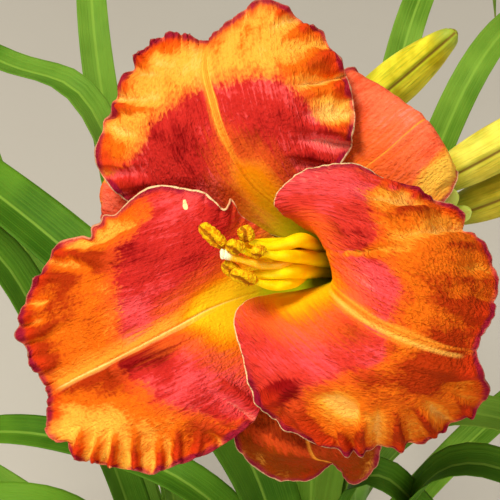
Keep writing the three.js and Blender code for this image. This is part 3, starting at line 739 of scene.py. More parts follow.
for bud_name, bud in buds.items():
    end, way = on_face(seats[bud_name][0]), face_way(seats[bud_name][1])
    root = end + clearance * mm * way
    tip = root + bud["length"] * mm * way
    half = 0.5 * bud["width"] * mm
    places = np.concatenate([[0, 0.002, 0.006], np.linspace(0.012, 0.99, bud_rows), [0.996, 1]])
    turns = np.linspace(0, 2 * np.pi, bud_sides, endpoint=False)
    piece = limb(bud_name + "_closed", [root, (root + tip) / 2, tip],
                 lambda t, turn: bud_radius(t, turn, half), bud_sides, places,
                 seam=seam_distance(places[:, None], turns[None, :], half),
                 reach=places[:, None])
    piece.data.materials.append(bud_finish(bud_name + "_skin", bud["flesh"], bud["green"]))
    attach(piece, "root")
    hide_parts(bud_name)

# ---- Floral tube -----------------------------------------------------------------------------
# The fleshy neck of the bloom, yellow-green with six faint ribs, grown from its stalk and widening
# to the ring that carries the tepals, the stamens and the pistil.
tube_sides = 48
bloom_way = unit((-0.53, 0.05, 0.85))  # out of the throat, in the face's own directions
throat = np.array([20, -3, -22.0])
bloom_base = throat - 28 * bloom_way
seat_point, seat_way = np.array(seats["bloom"][0]), unit(seats["bloom"][1])
tube_root = seat_point + clearance * seat_way
tube_lip = bloom_base - 0.45 * bloom_way
places = np.linspace(0, 1, 40)
tube = limb("floral_tube_neck", on_face(
    [tube_root, tube_root + 6 * seat_way, tube_lip - 9 * bloom_way, tube_lip]),
    lambda t, turn: (2.6 + 4 * smooth(0.55, 1, t)) * mm * (1 + 0.035 * np.cos(6 * turn)),
    tube_sides, places, reach=places[:, None])
neck_green, tree = start_tissue("neck_green", 0.42, gloss=0.5, clear=0.12, depth=0.002)
clouds = grain(tree, 200)
flesh = coats(tree, "94a83e",
              ("e0c646", measured(tree, "reach"), 0.1, 0.95),
              ("b4b44a", clouds, 0.45, 0.7, 0, 0.5))
tube.data.materials.append(paint(neck_green, flesh, clouds, 0.2 * mm))
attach(tube, "root")
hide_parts("floral_tube")

# ---- Petals ----------------------------------------------------------------------------------
# The three inner tepals: broad, thick, crepe-skinned blades on a pale midrib, ruffled all round
# their margins. Each has a green and gold throat, a crimson eye and an orange-gold outer part, and
# a thin cream wire edge. Rows of five points run from the throat to the tip, margin to margin.
petal_shape = dict(ring=4.2, flare=8.0, thickness=0.6, columns=168, steps=236)
ring_spread = 50  # degrees either side of the tepal's own place on the ring
ring_up = unit(np.array([0, 1, 0]) - bloom_way * bloom_way[1])
ring_right = np.cross(ring_up, bloom_way)
flare_start = throat - 8 * bloom_way
# Places are in millimetres to the right and up the face, as they are seen. Five numbers are for the
# five ribs, or for the five rows in wire, which has the thread's strength down each margin.
#   clock: the place on the ring, in degrees    crinkle: how strongly the blade is creped
#   waves, height, phase, sides, frills: the ruffle
#   pink, gold: how light eye and outer part are, in places as painted light and shade
#   halo: the reach of the pale band along the midrib, to the left and to the right of it
#   midrib: its swells and furrows, each a place across, a width and a height
#   flecks, spots: round patches, each a place, a reach and what it adds to its measure; some
#   gold and pink patches are painted shade in pits and troughs, others painted highlight on bulges
#   pinches: pulls on the margin, each a place, how far it goes right and up, and its reach
#   folds: creases, each from one place to another, with its height and width
petals = {
    "petal_left": dict(
        clock=218, crinkle=0.55, frills=0.35, waves=21, height=2.1, phase=0.4,
        sides=(0.9, 1.0, 0.5), glow=(-0.4, 0.0, 0.9, -0.1, -0.7), eye=(1.35, 1.75, 1.9, 2.42, 2.15),
        pink=(0.85, 0.75, 0.5, 0.0, 0.6), gold=(0.9, 0.5, 0.3, 0.0, 0.0),
        wire=((0, 0, 0, 0.1, 0.1), (0, 1, 1, 0.4, 0.2)), halo=(1.4, 5.5),
        midrib=[(0, 0.5, 0.5), (0.95, 0.6, -0.14), (-1.3, 0.9, 0.2)],
        flecks=[(-19, 13.2, 0.7), (-18.7, 12.2, 0.8), (-19.1, 14.2, 0.45)],
        spots=dict(
            gold=[(-61, -29, 5, -1.2), (-17, -51, 4, -0.9), (-52, -50, 7, 0.5), (-42, -50, 7, 0.8),
                  (-60, -34, 5, -0.8), (-8, -52, 7, -1.1), (-16, -55, 5, -0.7), (-57, -12, 8, -0.7),
                  (-52, -43, 4, -0.3), (-28, -47, 6, -0.2), (-29, -58, 4, -0.5), (-44, -4, 5, -0.8),
                  (-12, -46, 4, -0.8), (-48, 0, 5, 0.6), (-30, -56, 8, 0.2), (-40, -39, 8, -1.2),
                  (-30, -44, 4, -0.5), (-52, -53, 5, 0.3)],
            crinkle=[(-14, -14, 10, -0.25)],
            past_eye=[(-38, 0, 5, -3), (-36, 8, 4, 7), (-29, 10.5, 3, 6), (-47, -20, 6, 2),
                      (-26, -29.5, 4.5, -6), (-33, -32, 4, -6)],
            reach=[(9, -11.5, 5, -0.1)],
            past_glow=[(-20, -34, 8, 8), (-16, -12, 7, -5), (-26, -15, 6, -3), (-3, 9, 4, -8),
                       (-8, -28, 4, -3)],
            pink=[(-35, 0, 5, -0.7), (-12, -46, 4, -0.7), (-17, 0, 4, -0.7), (-6, -29, 4, 0.8),
                  (-22, -2, 9, 0.05), (-34, -7, 6, 0.2), (-31, -18, 8, 0.6), (-20, 14, 6, 0.5),
                  (-10, 8, 6, -0.9), (-27, -29.5, 4.5, -1.0), (-38, -35, 4, -0.8),
                  (-25, -26, 4, -0.4), (-26, -33, 4.5, -0.7)]),
        pinches=[(-14, 17, 0.6, 1.3, 3.5), (-8.2, 13.5, 0, -1.6, 1.3), (-5, 11.5, -0.3, 3.2, 1.5),
                 (-41, 8.5, -1.2, 1.4, 1.4), (-44.5, 6.5, -1.3, 0.6, 1.2),
                 (-46.5, 5.5, 0.6, -2.2, 2.0), (-54, 2.5, -1.0, 0.8, 2.5), (-67, -25, -2.2, 0, 2.2),
                 (-65.5, -29.5, 1.6, 0, 1.2), (-66, -37.5, -2.2, -0.4, 1.6),
                 (-60.5, -43, 2.2, 0.5, 1.4), (-59, -51, -1.2, -0.6, 2.5),
                 (-54, -57, 0.8, 1.4, 1.5), (-49.5, -60, -0.3, -1.0, 1.4), (-46, -61, 0, 0.8, 1.0),
                 (-28, -64, 0, -0.8, 3.5)],
        folds=[(-29, 9, -48, 2.4, 1.4, 1.9), (-36, -3, -52, -1.6, -1.3, 1.4),
               (-45, -5, -59, -3.5, 0.9, 2.0), (-44, -8.5, -61, -8.5, -0.9, 1.5),
               (-58, -11, -62, -20, 1.1, 2.0), (-51, -19, -67, -26, -1.4, 1.5),
               (-57, -33, -65, -30, -0.7, 1.6), (-64, -32, -63, -38, 0.6, 1.1),
               (-14, -23, -34, -33, -2.0, 2.2), (-33, -33, -58, -42, -0.9, 1.6),
               (-46, -50, -56, -53, 0.9, 1.8), (-45, -50, -46.5, -60, 1.7, 1.6),
               (-40, -50, -43, -62, 1.4, 1.5), (-36.5, -52, -36.4, -63, 1.7, 1.5),
               (-29, -54, -28.5, -64, 1.0, 1.6), (-23.5, -54, -24, -63, 0.9, 1.2),
               (-47.5, -51, -50.5, -60, -2.6, 1.3), (-43, -52, -45, -61.5, -2.3, 0.9),
               (-38.8, -51, -39.7, -63, -2.4, 0.9), (-33, -52, -33, -64, -2.8, 1.0),
               (-26.3, -54, -26.3, -64, -2.3, 1.0), (-21, -51, -21, -62, -2.6, 1.0),
               (-14, -51, -16.5, -60, -2.2, 1.2), (-18, -49, -5, -53, -1.4, 1.8),
               (-13, -40, 1, -49, 1.7, 1.5), (-10, -37, 3, -46, -1.3, 1.4),
               (-15, -45.5, -1, -51.5, -1.2, 1.2), (-13, -50, -8, -57, 0.7, 1.4),
               (-20, -1, -40, -3, -0.5, 2.4), (-12, -13, -36, -17, 0.4, 2.0),
               (-53, -7, -60.5, -8.5, -1.4, 0.9), (-56, -13, -64, -15.5, 1.2, 1.0),
               (-57, -16.5, -66, -20, -1.7, 0.9), (-59, -27, -68, -27.5, 1.2, 1.0),
               (-58, -31, -68, -33.5, -1.8, 0.9), (-57, -36, -67, -37.5, 1.3, 1.0),
               (-56, -39.5, -65, -41.5, -1.8, 0.9), (-54, -44, -62, -46, 1.2, 1.0),
               (-53, -47, -60, -49.5, -1.5, 0.9)],
        rows=[
            [(8, -30, -22), (-3, -26, -17), (-8, -15.5, -17), (-2, -3, -19), (2, 7, -22)],
            [(3, -46, -14), (-13, -37, -8), (-22, -22.5, -12), (-15, -5, -10), (-9, 13.5, -11)],
            [(-9, -57, -14), (-29, -46, -9), (-37, -30.5, -14), (-32, -7, -9), (-27, 18.5, -12)],
            [(-29, -64, -16), (-43, -51, -14), (-49, -36.5, -19), (-50, -14, -14), (-43, 7.5, -17)],
            [(-47, -61, -19), (-57.5, -54, -20), (-58.5, -42, -25), (-66.5, -22, -24),
             (-57, 0, -24)],
        ]),
    "petal_top": dict(
        clock=98, crinkle=0.6, frills=0.55, waves=22, height=2.2, phase=1.9, sides=(0.8, 0.8, 0.9),
        glow=(-0.7, -0.6, 0.3, -0.4, -0.6), eye=(1.35, 2.05, 2.4, 2.2, 1.5),
        pink=(0.5, 0.15, 0.2, 0.35, 0.6), gold=(0.85, 0.95, 1.0, 0.95, 0.5),
        wire=((0.3, 0.6, 0.5, 0.15, 0.1), (1, 0.9, 0.6, 0.3, 0.1)), halo=(2.1, 1.3),
        midrib=[(-0.9, 0.42, 0.32), (0, 0.25, -0.35), (0.8, 0.4, 0.32), (2.0, 0.5, 0.14)],
        flecks=[],
        spots=dict(
            gold=[(22, 52.5, 3, -1.2), (-14, 54, 6, 0.6), (-40, 18, 6, -1.2), (-41, 27, 3, -0.7),
                  (24, 53, 4, -1.0), (27, 46, 3, -0.6), (22, 47, 4, 0.7), (22, 39, 4, 0.9),
                  (0, 56, 12, -0.1), (-25, 60.5, 4, -1.8), (-32, 56, 3, -1.4), (-38, 31, 6, -0.7),
                  (28, 51, 4, 0.4), (6, 65, 5, 0.4), (-25.5, 54, 3.5, 1.2)],
            past_eye=[(-36, 31, 4, 5), (24, 39, 5, 5), (24, 30, 6, -9), (-38, 18, 7, -9),
                      (-43, 26, 3, -8), (-4, 46, 5, 2)],
            past_glow=[(14, 20, 6, 4), (3, 22, 7, -7), (-1, 30, 5, 2), (-10, 18, 5, -5)],
            pink=[(-12, 18, 5, 0.6), (23, 30, 4, 0.8), (-42, 24, 4, 0.7), (20, 25, 3, 0.5),
                  (0, 30, 9, -0.9), (-20, 29, 10, -0.7)],
            crinkle=[(-8, 56, 16, -0.35), (0, 24, 9, -0.35)],
            ribbed=[(-3, 27, 8, -0.12)],
            halo=[(-3, 27, 8, 0.4)]),
        pinches=[(1.5, 68.5, -0.5, -1.5, 1.6), (12.5, 71, 0.6, 0.8, 1.6),
                 (16.5, 66, -0.6, -0.9, 1.2), (21, 62.5, 0.7, 0.5, 1.5), (25, 54, 0.5, 0, 1.8),
                 (29.5, 50, 0.6, 0.5, 1.4), (-34.5, 53, 1.2, -0.6, 1.8),
                 (-41, 43.5, -1.3, 0.3, 1.6), (-39.5, 39.5, 1.8, 0, 1.8),
                 (-41, 36.5, -0.8, 0.8, 1.6), (-12.5, 62, 0, -0.8, 2.0), (-20, 63, 0, 0.8, 3.0)],
        folds=[(6, 66, 10.8, 71, -1.5, 1.0), (2, 63, 16, 68, 0.8, 1.6),
               (9, 61, 19.5, 65.5, -1.6, 1.3), (8, 57.5, 25, 61, 1.3, 1.9),
               (10, 51.5, 26, 56, -2.3, 1.9), (9, 47.5, 28, 50.8, 1.8, 1.5),
               (13, 44.5, 29, 47.5, -2.1, 1.8), (14, 39, 30, 40, 1.6, 2.0),
               (13, 36.5, 31, 33.3, -2.0, 1.4), (12, 32, 30.5, 30, 1.6, 1.6),
               (11, 28.5, 29.5, 25.8, -2.4, 1.5), (12, 24, 23, 26.5, 0.9, 1.3),
               (-26, 51.5, -34.5, 55.5, -1.4, 1.0), (-24, 50, -33, 52.5, 0.8, 1.2),
               (-26, 44.5, -40.5, 44, 1.4, 1.7), (-28, 40.8, -39.5, 40.3, -1.9, 1.1),
               (-28, 31, -40, 35, 1.2, 2.1), (-31, 25, -44.5, 25.3, -1.2, 0.8),
               (-31, 22.3, -43.5, 22, 0.8, 1.2), (-27, 20, -42.5, 18.5, -1.6, 1.4),
               (-30, 56, -33.5, 57.5, -1.4, 0.9), (-27, 58, -28.7, 61.5, -1.5, 0.8),
               (-22, 59, -22.7, 63, -1.8, 1.0), (-17.5, 59.5, -17, 63, -1.6, 0.9),
               (-24.8, 57, -25.3, 62, 1.1, 0.8), (-19.8, 58, -19.9, 63, 1.1, 0.7),
               (-20, 36, -30, 33, -0.4, 2.0), (4, 44, 14, 36, -0.4, 2.2)],
        rows=[
            [(-8, 9, -24), (-4, 15, -20), (2, 18, -17), (10, 19, -17), (18, 16, -20)],
            [(-30, 12, -22), (-19, 24, -12), (-7, 32, -10), (8, 33, -9), (25, 22, -16)],
            [(-44, 24, -18), (-28, 36, -9), (-11, 44, -9), (9, 47, -6), (30, 34, -13)],
            [(-39.5, 43, -19), (-27, 49, -13), (-13, 53.5, -12), (6, 58, -9), (28, 50, -15)],
            [(-33, 56, -23), (-24, 62, -22), (-12, 61.5, -17), (4, 72.5, -15), (20, 63, -17)],
        ]),
    "petal_right": dict(
        clock=338, crinkle=0.85, frills=0.2, waves=22, height=2.1, phase=3.1,
        sides=(0.4, 0.45, 0.55), glow=(-1.3, -0.6, 0.4, 0.3, -0.4), eye=(2.1, 1.7, 1.75, 1.85, 2.0),
        pink=(0.95, 0.45, 0.9, 0.65, 0.6), gold=(0.3, 0.1, -0.2, -0.35, 0.0),
        wire=((1, 1, 0.9, 0.5, 0.2), (1, 1, 0.9, 0.5, 0.15)), halo=(1.6, 3.6),
        midrib=[(0, 0.45, -0.5), (1.7, 1.2, 0.3), (-0.9, 0.6, 0.1)], flecks=[],
        spots=dict(
            halo=[(60, -30, 7, 0.9)],
            margin=[(46, 17, 4, 1.6)],
            gold=[(46, 17, 4, 1.4), (58, -29, 4, -1.6), (52, -30, 3.5, -1.0), (52, -49, 5, 1.7),
                  (63, -41, 4, 0.8), (43.5, 6, 4, -0.6), (38, 14, 5, 0.8), (48, 5, 7, 0.35),
                  (62, -16, 8, -0.5), (55, -33, 7, -0.7), (27, -46, 7, 1.4), (37, -51, 4, 1.1),
                  (32, -38, 6, -0.6), (57, -8, 6, -0.4), (12, -47, 6, -0.9), (60, 3, 5, -0.5),
                  (49, -39, 5, -1.0), (29, -54, 3, -0.5), (58, 13, 4, -0.5), (28, -1.2, 2.2, 0.7),
                  (33, -0.9, 2.2, 0.7), (38, 0.2, 2.6, 0.6), (43, 2.0, 3, 0.5)],
            past_eye=[(39, 15.5, 4.5, 6), (47, 4.5, 5, 9), (16, -40, 6, 3), (35, -30, 5, -8),
                      (36, 21, 3, -14), (42, 18.8, 2.6, -24), (47.5, 16, 2.4, -26), (25, -47, 6, 5),
                      (25, -1.2, 1.5, 26), (28, -1.1, 1.5, 25), (31, -0.9, 1.6, 22),
                      (34.5, -0.6, 1.8, 19), (38, 0.2, 2.3, 14), (42, -11, 5, -5)],
            crinkle=[(30, -14, 6, -0.5), (30, -46, 9, -0.4), (14, -18, 10, -0.5), (50, 5, 6, -0.3),
                     (9, -33, 11, -0.4), (22, 12, 9, -0.25)],
            past_glow=[(16, 10, 7, -3), (12, -17, 6, -4), (27, -19, 4, 6), (22, 6.5, 5, -6),
                       (17, 10, 5, -4), (23, -1.0, 2, -5)],
            pink=[(29, -35, 4, -0.8), (17, 22, 4, 0.6), (23, 6, 4, -0.8), (0, -35, 4, -0.6),
                  (34, -8, 7, 0.5), (30, 5, 7, -0.6), (14, 12, 5, -0.9), (3, -25, 5, -0.7),
                  (29, -24, 6, -1.2), (18, -25, 6, 0.3), (42, 19, 4, 0.6), (9, -41, 5, -1.7),
                  (15, -46, 4, -0.8)]),
        pinches=[(49.5, 16, -0.2, -1.2, 1.3), (54, 15.5, 0.4, 0.8, 2.0), (62, 9.5, 0.8, 0.4, 1.6),
                 (63.5, 6, -1.0, -0.4, 1.2), (70, -29, -4.0, 0, 2.0), (71, -24, 1.6, 0, 2.4),
                 (69.5, -33.5, 1.8, 0.2, 2.2), (69, -39, 0.9, -0.4, 1.6),
                 (58, -52.5, -0.4, 0.8, 1.6), (46, -57, 0, 0.8, 1.5), (20.5, -54, 0, -0.8, 1.2)],
        folds=[(33, 21.5, 48, 15.5, -1.9, 1.2), (27, 17, 51, 13, 1.4, 1.8),
               (33, 8.5, 53, 12, -1.5, 1.5), (33, 2.5, 62, 8, 1.7, 2.3),
               (20, -0.6, 42, 0.3, 1.0, 0.7), (22, 1.4, 41, 2.2, -0.5, 0.9),
               (26, 6, 37, 4, -0.6, 0.8), (24, 9, 35, 7.5, 0.5, 0.8), (23, 12, 34, 11, -0.6, 0.7),
               (28, 16, 38, 10, -0.5, 0.7), (53, 1, 68, 1, -0.8, 1.5), (55, 13, 61, 10, -1.0, 1.2),
               (56, -4, 70, -5.5, 0.9, 1.4), (55, -8, 71, -9.5, -0.8, 1.2),
               (50, -13, 70, -20, -1.1, 2.6), (58, -24, 70, -25, -0.8, 1.5),
               (60, -13, 70, -14, 0.6, 1.2), (46, -33, 64, -35.5, -2.2, 2.6),
               (56, -40, 68, -36.5, 1.2, 1.7), (16, -37, 3.5, -44, -3.0, 2.4),
               (9, -42, 20.5, -53, -2.2, 1.8), (17, -42, 28, -46.5, 1.7, 3.0),
               (32.3, -45, 32, -58, -2.7, 1.1), (37, -45, 37.6, -57, 1.7, 1.9),
               (25.5, -49, 28, -58, -2.6, 1.1), (42, -47, 43, -58, -2.7, 1.2),
               (45.5, -49, 47.5, -57, 0.9, 1.5), (47, -45, 51.5, -50.5, -2.6, 1.2),
               (49, -42, 57, -50, 1.4, 2.0), (51, -48, 58, -53, -2.2, 1.0),
               (58, -42, 65, -47.5, -2.1, 1.0), (56, -41, 65, -43.5, 1.0, 1.3),
               (49, -52, 53.5, -57, 0.8, 1.1), (24, 8, 34, 2, -0.5, 2.4),
               (24, -20, 38, -27, -0.7, 1.6), (20, -28, 32, -36, -0.5, 1.6)],
        rows=[
            [(8, 12, -8), (19, 5.5, -4), (24, -10, -4), (13, -14.5, -6), (-2.5, -16, -10)],
            [(14, 22, -3), (28, 9, 6), (32, -17.5, 5), (17, -27, 4), (-2, -31, -3)],
            [(30, 24.3, -3), (40, 7, 11), (43, -23.5, 12), (25, -40, 8), (5, -47, -6)],
            [(46, 16.5, -6), (56, 2, 8), (56, -28, 10), (44, -47, 5), (26, -57.5, -7)],
            [(60, 12, -11), (71.5, -9, -4), (65.5, -29.5, 3), (68, -43, -6), (50, -56, -10)],
        ]),
}


def ring_point(centre, radius, degrees):
    """A point of a ring round the bloom's own axis, on the face."""
    turn = math.radians(degrees)
    return centre + radius * (math.cos(turn) * ring_right + math.sin(turn) * ring_up)


def drawn(point):
    """A point drawn as the eye sees it on the face, put where it lies in the round."""
    point = np.array(point, float)
    spread = (eye_distance / mm - point[..., 2:]) / (eye_distance / mm)
    return np.concatenate([point[..., :2] * spread, point[..., 2:]], axis=-1)


def ruffle(u, v, waves, height, phase, sides):
    """The margin's waves, which stand on rays from the still heart of the blade, and the small
    frills that ride on them. Both are heights in millimetres."""
    heart, aspect = 0.4, 0.83
    across = 2 * u - 1
    along = (v - heart) / (1 - heart)
    nearness = (abs(across) ** 6 + np.maximum(along, 0) ** 6) ** (1 / 6)
    turn = np.arctan2(aspect * across, along)
    first, tip, last = sides
    strength = tip + (np.where(turn < 0, first, last) - tip) * smooth(0.5, 0.9, abs(turn))
    strength = height * strength * smooth(0.12, 0.42, v)
    wave = np.sin(waves * turn + phase + 0.8 * np.sin(2 * turn + phase))
    rounds = 3.3 * waves * turn + 2.4 * np.sin(3.1 * turn + phase) + 2 * phase
    coarse = 1.2 - 2.2 * abs(np.sin(0.5 * rounds))
    fine = np.sin(5.9 * waves * turn + 3 * np.sin(4.3 * turn) + phase)
    uneven = 0.75 + 0.35 * np.sin(5 * turn + phase) + 0.25 * np.sin(11 * turn - phase)
    frill = (coarse * smooth(0.74, 1, nearness) ** 1.6
             + 0.5 * fine * smooth(0.88, 1, nearness) ** 1.4)
    return (0.35 * strength * smooth(0.45, 1, nearness) ** 1.4 * wave,
            0.34 * strength * uneven * frill)


def creased(seen, folds):
    """Creases in millimetres, as listed. Each starts shallow at one point seen on the face and
    grows towards another, where it has its full height (a furrow's is negative) and width."""
    lift = np.zeros(seen.shape[:-1])
    for x_from, y_from, x_to, y_to, height, width in folds:
        start, run = np.array([x_from, y_from]), np.array([x_to - x_from, y_to - y_from])
        share = np.clip((seen - start) @ run / (run @ run), 0, 1.2)
        away = np.linalg.norm(seen - start - share[..., None] * run, axis=-1)
        grown = smooth(-0.25, 0.85, share)
        lift += height * grown * np.exp(-((away / (width * (0.55 + 0.45 * grown))) ** 2))
    return lift


def spotted(seen, spots):
    """Soft round patches: each adds its change at a point of the face and fades over its reach."""
    total = np.zeros(seen.shape[:-1])
    for x_spot, y_spot, reach, change in spots:
        total += change * np.exp(-np.sum(((seen - (x_spot, y_spot)) / reach) ** 2, -1))
    return total


def tepal(name, clock, rows, waves, height, phase, sides, ring, flare, thickness, columns, steps,
          glow, eye, pink, gold, wire, halo, midrib, folds, flecks, spots, pinches,
          crinkle, frills, finishes):
    """A blade on its net of points, ruffled, creased and creped, with its measures kept on it and
    its two finishes, face and back."""
    x = np.linspace(0, 1, columns + 1)
    u = x - 0.3 * np.sin(4 * np.pi * x) / (4 * np.pi)  # closer at the margins and the midrib
    y = np.linspace(0, 1, steps + 1)
    v = 1.4 * y - 0.4 * y * y  # closer towards the tip
    turns = [clock + ring_spread * (1 - rib / 2) for rib in range(5)]
    net = np.array([[ring_point(bloom_base, ring, turn) for turn in turns],
                    [ring_point(flare_start, flare, turn) for turn in turns],
                    *drawn(rows)])
    sheet = np.swapaxes(through(np.swapaxes(through(net, v), 0, 1), u), 0, 1)
    grid_u, grid_v = np.meshgrid(u, v)
    normal = unit(np.cross(np.gradient(sheet, v, axis=0), np.gradient(sheet, u, axis=1)))
    stride = np.linalg.norm(np.diff(sheet, axis=1), axis=-1)
    across = np.concatenate([np.zeros((steps + 1, 1)), np.cumsum(stride, axis=1)], axis=1)
    across -= across[:, columns // 2][:, None]
    stride = np.linalg.norm(np.diff(sheet, axis=0), axis=-1)
    along = np.concatenate([np.zeros((1, columns + 1)), np.cumsum(stride, axis=0)], axis=0)
    margin = np.minimum(np.minimum(across - across[:, :1], across[:, -1:] - across),
                        along[-1:] - along)
    seen = sheet[..., :2] * eye_distance / (eye_distance - sheet[..., 2:] * mm)
    wander = 0.8 * np.stack([mottle(sheet, 5, clock), mottle(sheet, 5, -clock)], -1)

    wave, frill = ruffle(grid_u, grid_v, waves, height, phase, sides)
    fold = creased(seen + wander, folds)
    outer = smooth(0.3, 0.55, grid_v)
    off_rib = smooth(0.5, 3, abs(across))
    quilt = mottle(sheet, 7.5, clock) * outer * off_rib
    puckers = mottle(sheet, 2.6, clock) * outer * off_rib * smooth(16, 3, margin)
    strip = np.stack([across * 0.5, along * 0.3, np.full_like(across, clock)], -1)
    crepe = crinkle * (0.2 * mottle(strip, 0.9) + 0.1 * mottle(strip, 0.4, 3)) * outer * off_rib
    strip = np.stack([across * 0.34, along * 0.1, np.full_like(across, clock + 5)], -1)
    pleats = (0.3 + 0.3 * crinkle) * mottle(strip, 1) * outer * off_rib
    ribbed = sum(rise_by * np.exp(-(((across - at) / width) ** 2)) for at, width, rise_by in midrib)
    ribbed = ribbed * smooth(0.2, 0.45, grid_v) * smooth(1.0, 0.88, grid_v)
    rolled = -0.6 * np.exp(-margin / 0.6) * outer
    lift = (wave + frill + 1.5 * fold + 0.7 * quilt + 0.45 * puckers + crepe + pleats + ribbed
            + rolled)
    heart = sheet[np.searchsorted(v, 0.4), columns // 2]
    outward = unit(sheet - heart + 1e-6)
    outward -= normal * np.sum(outward * normal, -1, keepdims=True)
    scallop = frills * frill + 0.1 * wave + 0.8 * fold * smooth(4, 0.5, margin)
    sheet = sheet + normal * lift[..., None] + outward * scallop[..., None]
    for x_spot, y_spot, x_pull, y_pull, spread in pinches:
        pull = spotted(seen, [(x_spot, y_spot, spread, 1)])
        sheet[..., 0] += x_pull * pull
        sheet[..., 1] += y_pull * pull

    piece, row, column = flat_grid(name, columns, steps)
    piece.data.vertices.foreach_set("co", on_face(sheet[row, column]).ravel())
    ribs, row_places = np.linspace(0, 1, 5), (np.arange(5) + 2) / 6

    def over_ribs(values):
        """A measure given on each of the five ribs, carried evenly across the blade."""
        return np.interp(grid_u, ribs, values)

    def past(rows_out):
        """Millimetres beyond a line across the blade, given as a row number on each rib."""
        return (grid_v - over_ribs((np.array(rows_out) + 2) / 6)) * along[-1:]

    measures = dict(
        margin=margin, across=across, along=along, reach=grid_v, past_glow=past(glow),
        past_eye=past(eye), pink=over_ribs(pink), gold=over_ribs(gold), ribbed=ribbed,
        wire=np.where(grid_u < 0.5, *(np.interp(grid_v, row_places, side) for side in wire)),
        halo=np.where(across < 0, -across / halo[0], across / halo[1]),
        fleck=np.minimum(1, spotted(seen, [(*fleck, 1) for fleck in flecks])),
        crinkle=crinkle * smooth(0.15, 0.48, grid_v),
        crest=1.15 * fold + 0.4 * wave + 0.7 * frill + 0.5 * quilt + 0.4 * puckers)
    for measure, patches in spots.items():
        measures[measure] = measures[measure] + spotted(seen, patches)
    for measure, values in measures.items():
        keep(piece, measure, values[row, column])
    for finish in finishes:
        piece.data.materials.append(finish)
    wall = piece.modifiers.new("thickness", "SOLIDIFY")
    wall.thickness = thickness * mm
    wall.offset = 0
    wall.material_offset = 1
    apply_all(piece)
    bpy.ops.object.shade_smooth()
    return piece
